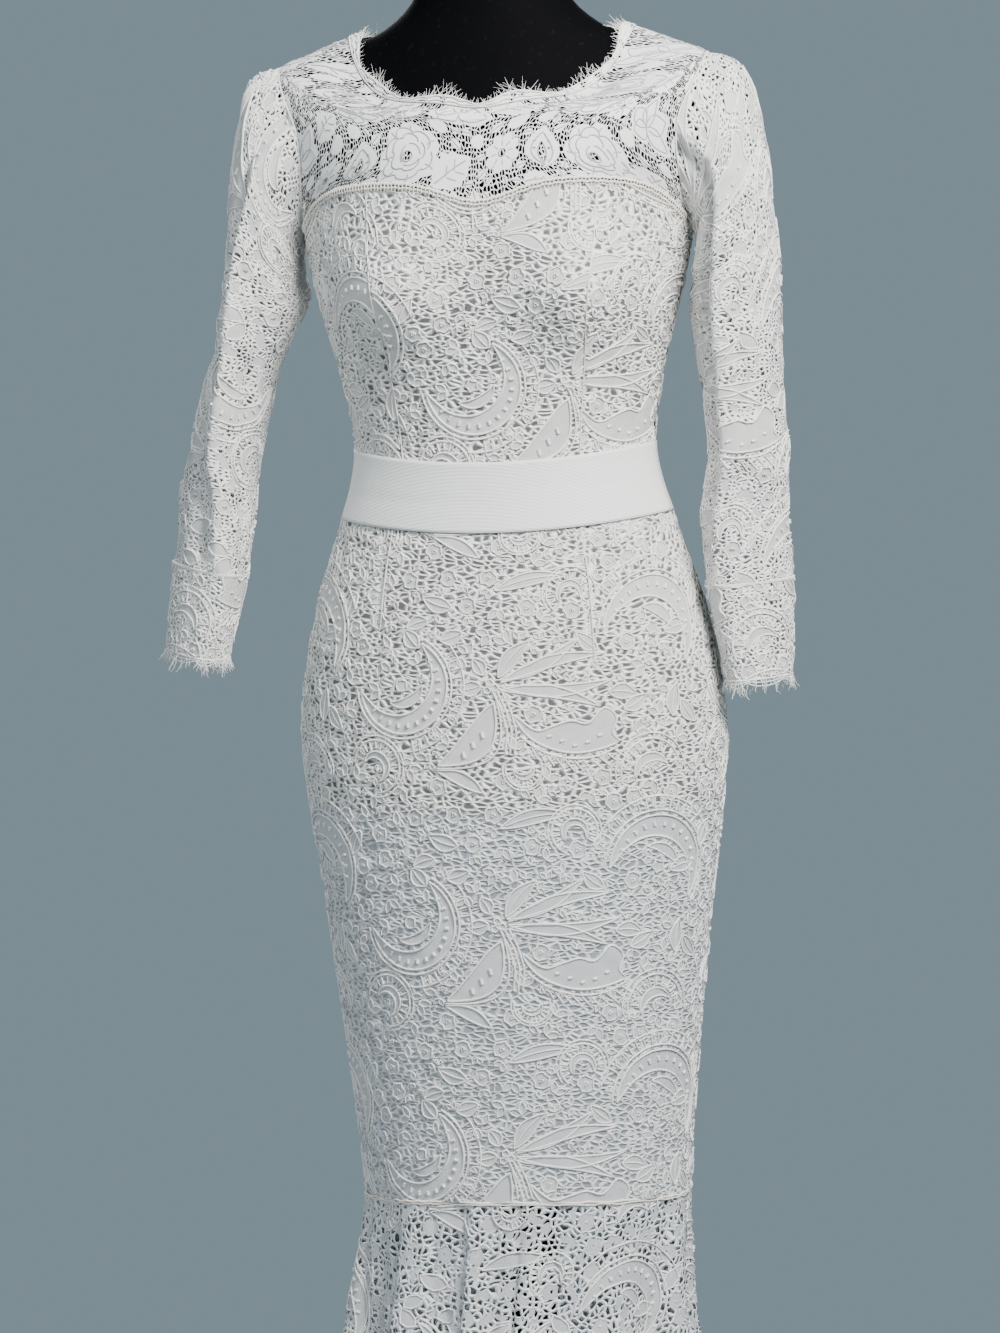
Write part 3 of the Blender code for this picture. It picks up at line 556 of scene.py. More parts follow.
class LaceChart:
    """A lace repeat: its size, its motifs and how solid it is at each point of its cloth.

    Lengths are in millimetres and turns in degrees.
    """

    width: float
    height: float
    cord_scale: float = 1.0
    cell: float = 0.6
    reach: float = 9.0

    def __init__(self) -> None:
        """Charts the motifs once, and fills the wide gaps between them with small ones."""
        shape = (round(self.height / self.cell), round(self.width / self.cell))
        self.solid = np.full(shape, -self.reach)
        self.motifs: list[Motif] = []
        for motif in self.draw():
            self.stamp(motif)
        self.fill_gaps()

    def draw(self) -> list[Motif]:
        """The placed motifs of one repeat."""
        raise NotImplementedError

    def filler(self, at: Pair, radius: float, random: np.random.Generator) -> list[Motif]:
        """A small motif for a gap."""
        raise NotImplementedError

    def fill_gaps(self, tries: int = 700, room: float = 4.6, largest: float = 9.0) -> None:
        """Puts small motifs wherever a round gap is left.

        Args:
            tries: How many places are tried.
            room: The least gap to fill, in millimetres.
            largest: The largest motif, in millimetres.
        """
        random = np.random.default_rng(11)
        for _ in range(tries):
            at = random.uniform((0, 0), (self.width, self.height))
            gap = -float(self.solid_at(at[None] * MM)[0])
            if gap > room:
                for motif in self.filler((at[0], at[1]), min(gap * 0.8, largest), random):
                    self.stamp(motif)

    def stamp(self, motif: Motif) -> None:
        """Adds a motif to the repeat, in signed millimetres inside the solid ones.

        Args:
            motif: The motif.
        """
        self.motifs.append(motif)
        if not motif.closed:
            return
        rows, columns = self.solid.shape
        low = np.floor((motif.line.min(0) - self.reach) / self.cell).astype(int)
        high = np.ceil((motif.line.max(0) + self.reach) / self.cell).astype(int)
        xs = np.arange(low[0], high[0] + 1)
        ys = np.arange(low[1], high[1] + 1)
        inside = np.clip(inside_by(motif.line, xs * self.cell, ys * self.cell), -self.reach, self.reach)
        patch = np.ix_(ys % rows, xs % columns)
        if motif.solid:
            self.solid[patch] = np.maximum(self.solid[patch], inside)
        else:
            self.solid[patch] = np.minimum(self.solid[patch], -inside)

    def solid_at(self, flat: Array) -> Array:
        """Signed millimetres inside the motifs at flat coordinates in metres.

        Args:
            flat: Flat coordinates in metres.

        Returns:
            The distances, negative in the net.
        """
        rows, columns = self.solid.shape
        x = flat[:, 0] / MM / self.cell
        y = flat[:, 1] / MM / self.cell
        left = np.floor(x).astype(int)
        low = np.floor(y).astype(int)
        right_share = x - left
        up_share = y - low
        near = self.solid[low % rows, left % columns] * (1 - right_share)
        near += self.solid[low % rows, (left + 1) % columns] * right_share
        far = self.solid[(low + 1) % rows, left % columns] * (1 - right_share)
        far += self.solid[(low + 1) % rows, (left + 1) % columns] * right_share
        return near * (1 - up_share) + far * up_share


def inside_by(line: Array, xs: Array, ys: Array) -> Array:
    """How many millimetres each point of a grid lies inside a closed line, negative outside.

    Args:
        line: The closed line.
        xs: The grid's places along X.
        ys: The grid's places along Y.

    Returns:
        A distance for each point of the grid.
    """
    spots = np.stack(np.meshgrid(xs, ys), axis=-1)[..., None, :]
    start = line
    end = np.roll(line, -1, axis=0)
    along = end - start
    share = ((spots - start) * along).sum(-1) / np.maximum((along**2).sum(-1), 1e-9)
    gap = spots - (start + np.clip(share, 0, 1)[..., None] * along)
    distance = np.sqrt((gap**2).sum(-1)).min(-1)
    crosses = (start[:, 1] > spots[..., 1]) != (end[:, 1] > spots[..., 1])
    rise = np.where(np.abs(along[:, 1]) < 1e-9, 1e-9, along[:, 1])
    at = start[:, 0] + (spots[..., 1] - start[:, 1]) / rise * along[:, 0]
    odd = (crosses & (spots[..., 0] < at)).sum(-1) % 2 == 1
    return np.where(odd, distance, -distance)


class PaisleyLace(LaceChart):
    """Beaded crescents, leaf sprays and ladders, as on the bodice, skirt, sleeves and flounce."""

    width = 300.0
    height = 188.0
    cord_scale = 1.3

    def draw(self) -> list[Motif]:
        """The motifs of one repeat, about the leaf spray's knot at zero.

        Returns:
            The motifs.
        """
        motifs: list[Motif] = []
        motifs += self.paisley((-73, 0), 38, 62, -172)
        motifs += self.paisley((130, 40), 41, 178, -44)
        motifs += self.spray()
        motifs += self.scalloped_leaf()
        motifs += self.wheel((-98, -64), 22, -80, 170)
        motifs += self.wheel((126, -72), 27, 20, 200)
        motifs += self.wheel((24, -66), 15, 180, 380)
        motifs += self.wheel((62, 72), 19, -30, 230)
        motifs += self.leaves(
            (
                ((-30, 62), 160, 26, 13), ((-40, 36), 20, 20, 12), ((-58, 30), 128, 19, 13),
                ((-50, 52), 200, 20, 11), ((4, 76), 10, 58, 11), ((-8, -84), 155, 42, 10),
                ((-128, 52), 60, 24, 12), ((-136, 40), 190, 24, 12), ((92, -8), -8, 24, 12),
                ((104, -22), 30, 22, 11), ((146, -30), 80, 26, 12), ((-146, -18), -50, 24, 11),
                ((84, 26), 140, 22, 11),
            )
        )
        return motifs

    def paisley(self, at: Pair, radius: float, start: float, end: float) -> list[Motif]:
        """A beaded crescent with a doubled edge, a hooked heart and a ladder along its back.

        Args:
            at: Its place.
            radius: Its radius.
            start: Where its arc starts.
            end: Where its arc ends.

        Returns:
            The motifs.
        """
        thick = radius * 0.42
        made = [
            Motif(crescent(radius, start, end, thick) + at, True, 0.70),
            Motif(arc(radius * 1.10, start, end, 26) + at, False, 0.70, False),
            Motif(crescent(radius * 0.46, start - 60, end + 40, radius * 0.20, 18) + at, True, 0.60),
            Motif(rosette(radius * 0.14, 5) + at, True, 0.50),
        ]
        way = 1 if end > start else -1
        for turn in np.arange(start + way * 24, end - way * 22, way * 15.0):
            bead = np.array(((radius * 0.83 - 1.6, 0.0), (radius * 0.83 + 1.6, 0.0)))
            made.append(Motif(placed(bead, at, turn), False, 1.15, False))
        for turn in np.arange(start + way * 30, start + way * 150, way * 8.0):
            bar = np.array(((radius * 1.14, 0.0), (radius * 1.34, 0.0)))
            made.append(Motif(placed(bar, at, turn), False, 0.55, False))
        rail = arc(radius * 1.37, start + way * 24, start + way * 158, 18)
        made.append(Motif(rail + at, False, 0.60, False))
        return made

    def spray(self) -> list[Motif]:
        """Long leaves that fan out of a knot, above a broad beaded leaf and its stems.

        Returns:
            The motifs.
        """
        made = self.leaves(
            (
                ((6, 6), 49, 38, 12), ((7, 4), 27, 70, 9), ((8, 2), 14, 84, 9), ((8, -1), 2, 88, 9),
                ((8, -4), -11, 80, 9), ((-6, 8), 120, 16, 11), ((-8, 0), 190, 18, 12),
            )
        )
        made.append(Motif(placed(leaf(68, 23, 0.16), (2, -14), -134), True, 0.80))
        made.append(Motif(placed(leaf(72, 30, 0.17), (4, -12), -133)[:14], False, 0.65, False))
        for share in (0.34, 0.50, 0.66):
            bead = np.array(((68 * share, 8.0), (68 * share + 2.5, 12.0)))
            made.append(Motif(placed(bead, (2, -14), -134), False, 1.2, False))
        for side in (0.0, 3.6, 7.2):
            stem = np.array(((1.0, -4.0), (8.0, -20.0), (12.0, -36.0), (10.0, -54.0)))
            made.append(Motif(stem + (side, 0.0), False, 0.65, False))
        for spot in ((-1, 2), (3, -2), (-3, -4)):
            made.append(Motif(ring_line(3.2, 8) + np.array(spot), True, 0.60))
        return made

    def leaves(self, places: Iterable[tuple[Pair, float, float, float]]) -> list[Motif]:
        """Leaves, each by its root, its direction in degrees, its length and its width.

        Args:
            places: The leaves, in millimetres and degrees.

        Returns:
            The motifs.
        """
        made = []
        for number, (at, turn, length, width) in enumerate(places):
            bend = 0.07 * (-1) ** number
            made.append(Motif(placed(leaf(length, width, bend), at, turn), True, 0.60))
            if width > 10:
                made.append(Motif(placed(midrib(length, bend), at, turn), False, 0.45, False))
        return made

    def scalloped_leaf(self) -> list[Motif]:
        """A broad leaf along the spray's foot, with a waved edge, a doubled back and a ladder.

        Returns:
            The motifs.
        """
        edge = rounded(
            (
                (18, -24), (34, -36), (48, -33), (62, -29), (75, -32), (88, -20), (98, -28),
                (94, -40), (99, -47), (80, -53), (60, -54), (40, -48), (26, -38),
            )
        )
        made = [Motif(edge, True, 0.70)]
        spine = np.array(((22.0, -40.0), (38.0, -52.0), (60.0, -58.5), (82.0, -57.5), (100.0, -50.0)))
        back = smooth(spine, np.linspace(0, len(spine) - 1, 14))
        made.append(Motif(back, False, 0.65, False))
        for foot, head in zip(back[2:-1], (back * 1.12)[2:-1]):
            made.append(Motif(np.array((foot - (0, 1.5), head - (0, 3.5))), False, 0.55, False))
        for share in np.linspace(0.2, 0.8, 5):
            spot = np.array((30 + 66 * share, -45.0 + 4 * math.sin(share * 9)))
            made.append(Motif(np.array((spot, spot + (3.0, 0.8))), False, 1.0, False))
        return made

    def wheel(self, at: Pair, radius: float, start: float, end: float) -> list[Motif]:
        """A hooked scroll with a ladder of bars about it.

        Args:
            at: Its place.
            radius: Its radius.
            start: Where its arc starts.
            end: Where its arc ends.

        Returns:
            The motifs.
        """
        made = [Motif(crescent(radius * 0.55, start, end, radius * 0.26, 18) + at, True, 0.60)]
        for turn in np.arange(start, end, 17.0):
            bar = np.array(((radius * 0.62, 0.0), (radius * 0.90, 0.0)))
            made.append(Motif(placed(bar, at, turn), False, 0.60, False))
        made.append(Motif(arc(radius * 0.96, start - 10, end, 16) + at, False, 0.70, False))
        made.append(Motif(arc(radius * 1.12, start - 20, end - 12, 16) + at, False, 0.55, False))
        return made

    def filler(self, at: Pair, radius: float, random: np.random.Generator) -> list[Motif]:
        """A blossom, or a pair of petals.

        Args:
            at: Its place.
            radius: Its radius.
            random: The source of random numbers.

        Returns:
            The motifs.
        """
        turn = random.uniform(0, 360)
        if radius > 6 and random.random() < 0.4:
            made = [Motif(placed(rosette(radius, 5), at, turn), True, 0.55)]
            made.append(Motif(ring_line(radius * 0.28, 6) + at, False, 0.55))
            return made
        made = []
        for lean in (-38, 38):
            line = placed(leaf(radius * 1.5, radius * 0.9), (-radius * 0.7, 0.0), lean)
            made.append(Motif(placed(line, at, turn), True, 0.50))
        return made


class RoseLace(LaceChart):
    """Roses, daisies, buds and leaves, close together on fine net, as on the yoke."""

    width = 168.0
    height = 96.0
    cord_scale = 1.3
    cell = 0.4

    def draw(self) -> list[Motif]:
        """The motifs of one repeat, about the rose's heart at zero.

        Returns:
            The motifs.
        """
        motifs: list[Motif] = []
        motifs += self.rose((0, 0), 28)
        motifs += self.toothed_leaf((25, -25), 44, 44)
        motifs += self.daisy((85, 4), 16)
        motifs += self.bud((121, -14), 90, 34)
        motifs += self.toothed_leaf((98, -24), -6, 24)
        blobs = (((94, 28), 7.5), ((116, 30), 7), ((62, 18), 6), ((141, -22), 6), ((30, 26), 7))
        for spot, radius in blobs:
            motifs += self.blob(spot, radius)
        motifs += self.side_rose((48, 44), 26)
        motifs += self.side_rose((136, 46), 24)
        motifs += self.toothed_leaf((72, 44), 12, 40)
        motifs += self.toothed_leaf((158, 36), 60, 30)
        motifs += self.daisy((10, 48), 14)
        return motifs

    def rose(self, at: Pair, radius: float) -> list[Motif]:
        """An open rose: rounds of petals about a small heart of net.

        Args:
            at: Its place.
            radius: Its radius.

        Returns:
            The motifs.
        """
        made = [Motif(rosette(radius, 7, 0.16) + at, True, 0.0)]
        for share, petals, shift, turn in ((0.80, 6, 1.0, 10), (0.56, 5, 2.0, 40)):
            line = placed(rosette(radius * share, petals, 0.22), (at[0] - shift, at[1] + shift), turn)
            made.append(Motif(line, False, 0.50, False))
        for turn in range(25, 360, 51):
            fold = np.array(((radius * 0.60, 0.0), (radius * 0.74, 1.5), (radius * 0.90, 0.5)))
            made.append(Motif(placed(fold, at, turn), False, 0.45, False))
        made.append(Motif(ring_line(radius * 0.17, 8) + (at[0] - 3, at[1] - 1), False, 0.45))
        for turn in (0, 120, 240):
            made.append(Motif(placed(arc(radius * 0.32, 0, 95, 7), at, turn), False, 0.45, False))
        return made

    def daisy(self, at: Pair, radius: float) -> list[Motif]:
        """Eight round petals about a small eye.

        Args:
            at: Its place.
            radius: Its radius.

        Returns:
            The motifs.
        """
        made = [Motif(rosette(radius, 8, 0.32) + at, True, 0.0)]
        made.append(Motif(ring_line(radius * 0.22, 8) + at, False, 0.45))
        for turn in range(0, 360, 45):
            fold = np.array(((radius * 0.34, 0.0), (radius * 0.62, 0.0)))
            made.append(Motif(placed(fold, at, turn), False, 0.38, False))
        return made

    def bud(self, at: Pair, turn: float, length: float) -> list[Motif]:
        """A heart-shaped bud with two sepals and four beads in it.

        Args:
            at: Its place.
            turn: Its turn.
            length: Its length.

        Returns:
            The motifs.
        """
        made = [Motif(placed(leaf(length, length * 0.92), at, turn), True, 0.0)]
        hem = leaf(length * 0.78, length * 0.56) + (2, 0)
        made.append(Motif(placed(hem, at, turn), False, 0.50, False))
        made.append(Motif(placed(leaf(length * 0.52, length * 0.22) + (4, 0), at, turn), False, 0.45))
        for side in (-1, 1):
            for share in (0.45, 0.62):
                spot = placed(np.array(((length * share, side * length * 0.19),)), at, turn)[0]
                made.append(Motif(ring_line(1.3, 6) + spot, False, 0.40))
        return made

    def toothed_leaf(self, at: Pair, turn: float, length: float) -> list[Motif]:
        """A broad leaf with a toothed edge and a middle rib.

        Args:
            at: Its place.
            turn: Its turn.
            length: Its length.

        Returns:
            The motifs.
        """
        line = leaf(length, length * 0.52, 0.05, 26)
        teeth = 1 + 0.34 * np.abs(np.sin(np.arange(len(line)) * 0.62))
        line = line * np.stack((np.ones(len(line)), teeth), axis=-1)
        made = [Motif(placed(line, at, turn), True, 0.0)]
        made.append(Motif(placed(midrib(length, 0.05), at, turn), False, 0.50, False))
        for share in (0.32, 0.54):
            for side in (-1, 1):
                tip = (length * (share + 0.14), side * length * 0.15)
                vein = np.array(((length * share, side * 0.6), tip))
                made.append(Motif(placed(vein, at, turn), False, 0.38, False))
        return made

    def side_rose(self, at: Pair, radius: float) -> list[Motif]:
        """A rose from the side, of broad overlapping petals.

        Args:
            at: Its place.
            radius: Its radius.

        Returns:
            The motifs.
        """
        made = []
        for turn, share in ((-20, 1.0), (40, 1.1), (100, 1.1), (160, 1.0), (220, 0.7)):
            made.append(Motif(placed(leaf(radius * share, radius * 0.8), at, turn), True, 0.0))
            edge = leaf(radius * share * 0.84, radius * 0.56)
            made.append(Motif(placed(edge, at, turn), False, 0.42, False))
        return made

    def blob(self, at: Pair, radius: float) -> list[Motif]:
        """A small round petal."""
        return [Motif(rosette(radius, 3, 0.12) + at, True, 0.0)]

    def filler(self, at: Pair, radius: float, random: np.random.Generator) -> list[Motif]:
        """A small leaf across the gap.

        Args:
            at: Its place.
            radius: Its radius.
            random: The source of random numbers.

        Returns:
            The motifs.
        """
        turn = random.uniform(0, 360)
        line = placed(leaf(radius * 2, radius * 1.2), (-radius, 0.0), 0)
        rib = placed(midrib(radius * 2), (-radius, 0.0), 0)
        return [Motif(placed(line, at, turn), True, 0.0), Motif(placed(rib, at, turn), False, 0.38, False)]


# Cloth


@dataclass(frozen=True)
class Crease:
    """A soft trough in a piece of cloth, between two points of its flat coordinates in metres."""

    start: Pair
    end: Pair
    width: float
    depth: float


class Cloth:
    """A piece of cloth as an even grid of points on a surface, with flat coordinates of its own."""

    def __init__(
        self, surface: Surface, across: Pair, up: Pair, pitch: float,
        middle: float, corner: Pair = (0.0, 0.0), upright: bool = False,
    ) -> None:
        """Lays the grid.

        Args:
            surface: Gives points for two arrays, across and up.
            across: First and last value of the surface's first coordinate.
            up: First and last value of its second one.
            pitch: Cell size in metres.
            middle: Where, from 0 to 1 of the way across, the flat coordinates have their zero.
            corner: What is added to the flat coordinates, so that the lace's repeat is placed.
            upright: Whether lengths are kept true up each column, and not along each row.
        """
        self.upright = upright
        probe = np.linspace(0, 1, 121)
        coarse = surface(
            (across[0] + (across[1] - across[0]) * probe)[None, :],
            (up[0] + (up[1] - up[0]) * probe)[:, None],
        )
        widths = np.linalg.norm(np.diff(coarse, axis=1), axis=-1)
        heights = np.linalg.norm(np.diff(coarse, axis=0), axis=-1)
        self.width = float(widths.sum(1).max())
        self.length = float(heights.sum(0).mean())
        self.columns = max(4, math.ceil(self.width / pitch))
        self.rows = max(2, math.ceil(self.length / pitch))
        column_at = even_shares(widths.mean(0), self.columns)
        row_at = even_shares(heights.mean(1), self.rows)
        self.points = surface(
            (across[0] + (across[1] - across[0]) * column_at)[None, :],
            (up[0] + (up[1] - up[0]) * row_at)[:, None],
        )
        lines = self.points.swapaxes(0, 1) if upright else self.points
        steps = np.linalg.norm(np.diff(lines, axis=1), axis=-1)
        run = np.concatenate((np.zeros((len(lines), 1)), np.cumsum(steps, axis=1)), axis=1)
        spacing = np.linalg.norm(np.diff(lines, axis=0), axis=-1).mean(1)
        between = np.concatenate(((0.0,), np.cumsum(spacing)))
        zero_at = middle * self.columns
        numbers = np.arange(self.columns + 1)
        if upright:
            self.run = run + corner[1]
            self.even = between - np.interp(zero_at, numbers, between) + corner[0]
        else:
            zero = np.array([np.interp(zero_at, numbers, row) for row in run])
            self.run = run - zero[:, None] + corner[0]
            self.even = between + corner[1]
        self.normals = self.outward()
        corner_across = np.diff(self.points, axis=1)[:-1]
        corner_up = np.diff(self.points, axis=0)[:, :-1]
        self.area = float(np.linalg.norm(np.cross(corner_across, corner_up), axis=-1).sum())

    def outward(self) -> Array:
        """Unit normals that point away from the middle of each row.

        Returns:
            The normals.
        """
        around = np.gradient(self.points, axis=1)
        upward = np.gradient(self.points, axis=0)
        normals = unit(np.cross(around, upward))
        away = self.points - self.points.mean(axis=1, keepdims=True)
        self.turned = float((normals * away).sum()) < 0
        return -normals if self.turned else normals

    def press(self, creases: Iterable[Crease]) -> None:
        """Presses soft troughs into the cloth, or ridges where a depth is negative.

        Args:
            creases: The creases, in flat metres.
        """
        flat = self.flat()
        for crease in creases:
            start = np.array(crease.start)
            along = np.array(crease.end) - start
            share = ((flat - start) @ along) / (along @ along)
            gap = flat - (start + np.clip(share, 0, 1)[..., None] * along)
            distance = np.linalg.norm(gap, axis=-1)
            fade = np.clip(1 - np.abs(np.clip(share, 0, 1) - 0.5) * 1.2, 0, 1)
            trough = crease.depth * fade * np.exp(-((distance / crease.width) ** 2))
            self.points = self.points - self.normals * trough[..., None]

    def pucker(self, height: float, size: float, calm: Optional[LaceChart], closed: bool) -> None:
        """Roughens the cloth with small uneven puffs.

        Args:
            height: The puffs' height in metres.
            size: Their spacing in metres.
            calm: A repeat whose solid motifs stay smoother.
            closed: Whether the cloth is a tube, whose first and last columns have to stay one.
        """
        flat = self.flat()
        puff = uneven(flat / size) + 0.6 * uneven(flat / size * 1.9 + 7.3)
        if calm:
            inside = np.clip(calm.solid_at(flat.reshape(-1, 2)).reshape(flat.shape[:2]), 0, 1)
            puff = puff * (1 - 0.65 * inside)
        if closed:
            share = np.linspace(0, 1, self.columns + 1)
            puff = puff * np.clip(np.minimum(share, 1 - share) * 25, 0, 1)
        self.points = self.points + self.normals * (puff * height)[..., None]

    def flat(self) -> Array:
        """Flat coordinates of every grid point.

        Returns:
            The coordinates, in metres.
        """
        even = np.broadcast_to(self.even[:, None], self.run.shape)
        if self.upright:
            return np.stack((even.T, self.run.T), axis=-1)
        return np.stack((self.run, even), axis=-1)

    def locate(self, flat: Array) -> tuple[Array, Array, Array]:
        """Finds flat coordinates on the cloth.

        Args:
            flat: Points in flat coordinates.

        Returns:
            Their places, the normals there, and whether each lies on the piece.
        """
        across, along = (flat[:, 0], flat[:, 1]) if self.upright else (flat[:, 1], flat[:, 0])
        line = np.interp(across, self.even, np.arange(len(self.even)))
        low = np.minimum(line.astype(int), len(self.even) - 2)
        side = (line - low)[:, None]
        run = self.run[low] * (1 - side) + self.run[low + 1] * side
        spot = np.clip((run < along[:, None]).sum(1) - 1, 0, run.shape[1] - 2)
        each = np.arange(len(flat))
        share = (along - run[each, spot]) / np.maximum(run[each, spot + 1] - run[each, spot], 1e-9)
        on_it = (share >= 0) & (share <= 1) & (across > self.even[0]) & (across < self.even[-1])
        share = np.clip(share, 0, 1)[:, None]

        def blend(grid: Array) -> Array:
            """The grid's values at the places, by their four nearest points.

            Args:
                grid: A value for each grid point.

            Returns:
                A value for each place.
            """
            if self.upright:
                grid = grid.swapaxes(0, 1)
            near = grid[low, spot] * (1 - share) + grid[low, spot + 1] * share
            far = grid[low + 1, spot] * (1 - share) + grid[low + 1, spot + 1] * share
            return near * (1 - side) + far * side

        return blend(self.points), unit(blend(self.normals)), on_it

    def sheet(self, name: str, chart: Optional[LaceChart] = None, closed: bool = False) -> bpy.types.Object:
        """Makes the mesh.

        Args:
            name: The piece's name.
            chart: The lace's repeat, or None for plain cloth.
            closed: Whether the first and last columns are one.

        Returns:
            The new object, with its cloth map and its attribute.
        """
        grid = bmesh.new()
        bmesh.ops.create_grid(grid, x_segments=self.columns, y_segments=self.rows, size=0.5)
        mesh = bpy.data.meshes.new(name)
        grid.to_mesh(mesh)
        grid.free()
        flat_grid = np.empty(len(mesh.vertices) * 3)
        mesh.vertices.foreach_get("co", flat_grid)
        flat_grid = flat_grid.reshape(-1, 3)
        column = np.rint((flat_grid[:, 0] + 0.5) * self.columns).astype(int)
        row = np.rint((flat_grid[:, 1] + 0.5) * self.rows).astype(int)
        mesh.vertices.foreach_set("co", self.points[row, column].ravel())
        flat = self.flat()[row, column]
        corners = np.empty(len(mesh.loops), int)
        mesh.loops.foreach_get("vertex_index", corners)
        cloth_map = mesh.uv_layers.new(name="cloth")
        cloth_map.data.foreach_set("uv", flat[corners].ravel())
        solid = chart.solid_at(flat) if chart else np.full(len(flat), PLAIN_CLOTH)
        write_attribute(mesh, "solid", solid)
        if self.turned or closed:
            shell = bmesh.new()
            shell.from_mesh(mesh)
            if self.turned:
                bmesh.ops.reverse_faces(shell, faces=shell.faces)
            if closed:
                bmesh.ops.remove_doubles(shell, verts=shell.verts, dist=0.00002)
            shell.to_mesh(mesh)
            shell.free()
        mesh.shade_smooth()
        return linked(name, mesh)


def uneven(place: Array) -> Array:
    """Smooth random heights from -1 to 1 at places in the plane, one hill to a unit.

    Args:
        place: Points in the plane.

    Returns:
        The heights.
    """
    table = np.random.default_rng(5).uniform(-1, 1, (64, 64))
    low = np.floor(place).astype(int)
    share = place - low
    share = share * share * (3 - 2 * share)
    column, row = low[..., 0], low[..., 1]
    right, rise = share[..., 0], share[..., 1]
    lower, upper = (
        table[line % 64, column % 64] * (1 - right) + table[line % 64, (column + 1) % 64] * right
        for line in (row, row + 1)
    )
    return lower * (1 - rise) + upper * rise


def even_shares(steps: Array, count: int) -> Array:
    """Shares of a way at which equal lengths end, for a way measured in small steps."""
    run = np.concatenate(((0.0,), np.cumsum(steps)))
    return np.interp(np.linspace(0, run[-1], count + 1), run, np.linspace(0, 1, len(run)))


def write_attribute(mesh: bpy.types.Mesh, name: str, values: Array) -> None:
    """Stores one number for each vertex."""
    mesh.attributes.new(name, "FLOAT", "POINT").data.foreach_set("value", values.astype(np.float32))


def linked(name: str, data: bpy.types.ID) -> bpy.types.Object:
    """A new object in the scene.

    Args:
        name: Its name.
        data: Its mesh or curve.

    Returns:
        The new object.
    """
    thing = bpy.data.objects.new(name, data)
    bpy.context.scene.collection.objects.link(thing)
    return thing


class Threads:
    """Many cords and threads gathered into one mesh."""

    def __init__(self, name: str) -> None:
        """Starts an empty bundle.

        Args:
            name: The mesh's name.
        """
        self.curve = bpy.data.curves.new(name, "CURVE")
        self.curve.dimensions = "3D"
        self.curve.bevel_depth = MM
        self.curve.bevel_resolution = 0
        self.curve.use_fill_caps = True
        self.count = 0

    def add(self, line: Array, radius: float, tip: float = 1.0, closed: bool = False) -> None:
        """Adds one thread.

        Args:
            line: Its points in metres.
            radius: Its radius in millimetres.
            tip: The share of the radius left at its far end.
            closed: Whether it runs back into itself.
        """
        if len(line) < 2:
            return
        spline = self.curve.splines.new("POLY")
        spline.points.add(len(line) - 1)
        spline.points.foreach_set("co", np.concatenate((line, np.ones((len(line), 1))), axis=1).ravel())
        spline.points.foreach_set("radius", np.linspace(radius, radius * tip, len(line)))
        spline.use_cyclic_u = closed
        self.count += len(line)

    def mesh(self) -> Optional[bpy.types.Object]:
        """The bundle as one mesh object, or None where it is empty.

        Returns:
            The object, or None.
        """
        if not self.count:
            return None
        source = linked(self.curve.name + "_line", self.curve)
        depsgraph = bpy.context.evaluated_depsgraph_get()
        mesh = bpy.data.meshes.new_from_object(source.evaluated_get(depsgraph))
        name = self.curve.name
        bpy.data.objects.remove(source)
        bpy.data.curves.remove(self.curve)
        mesh.name = name
        mesh.shade_smooth()
        return linked(name, mesh)


def stepped(line: Array, pitch: float, closed: bool) -> Array:
    """A line with points about a pitch apart, in its own units.

    Args:
        line: The points of the line.
        pitch: The spacing wanted.
        closed: Whether it runs back into itself.

    Returns:
        The points.
    """
    if closed:
        line = np.concatenate((line, line[:1]))
    run = np.concatenate(((0.0,), np.cumsum(np.linalg.norm(np.diff(line, axis=0), axis=1))))
    count = max(2, int(run[-1] / pitch) + 1)
    at = np.linspace(0, run[-1], count)
    return np.stack([np.interp(at, run, line[:, axis]) for axis in range(line.shape[1])], axis=-1)


def lay_cords(
    threads: Threads, cloth: Cloth, chart: LaceChart, pitch: float, lift: float, least: float
) -> None:
    """Lays the raised cords of a lace's repeat on a piece of cloth.

    Args:
        threads: The bundle that takes them.
        cloth: The piece.
        chart: The repeat.
        pitch: Distance between a cord's points in millimetres.
        lift: How far the cords' middles stand off the cloth, in metres.
        least: Radius in millimetres below which a cord is left out.
    """
    size = np.array((chart.width, chart.height))
    flat = cloth.flat().reshape(-1, 2) / MM
    low = flat.min(0)
    high = flat.max(0)
    for motif in chart.motifs:
        if motif.cord < least:
            continue
        line = stepped(motif.line, pitch, motif.closed)
        first = np.ceil((low - line.max(0)) / size).astype(int)
        last = np.floor((high - line.min(0)) / size).astype(int)
        for column in range(first[0], last[0] + 1):
            for row in range(first[1], last[1] + 1):
                points, normals, on_it = cloth.locate((line + size * (column, row)) * MM)
                raised = points + normals * lift
                for run in runs_of(on_it):
                    threads.add(raised[run], motif.cord * chart.cord_scale)


def runs_of(mask: Array) -> list[slice]:
    """Slices of a mask in which it stays true for two points or more."""
    edges = np.flatnonzero(np.diff(np.concatenate(((0,), mask.astype(int), (0,)))))
    return [slice(start, end) for start, end in zip(edges[::2], edges[1::2]) if end - start > 1]


# Finishes


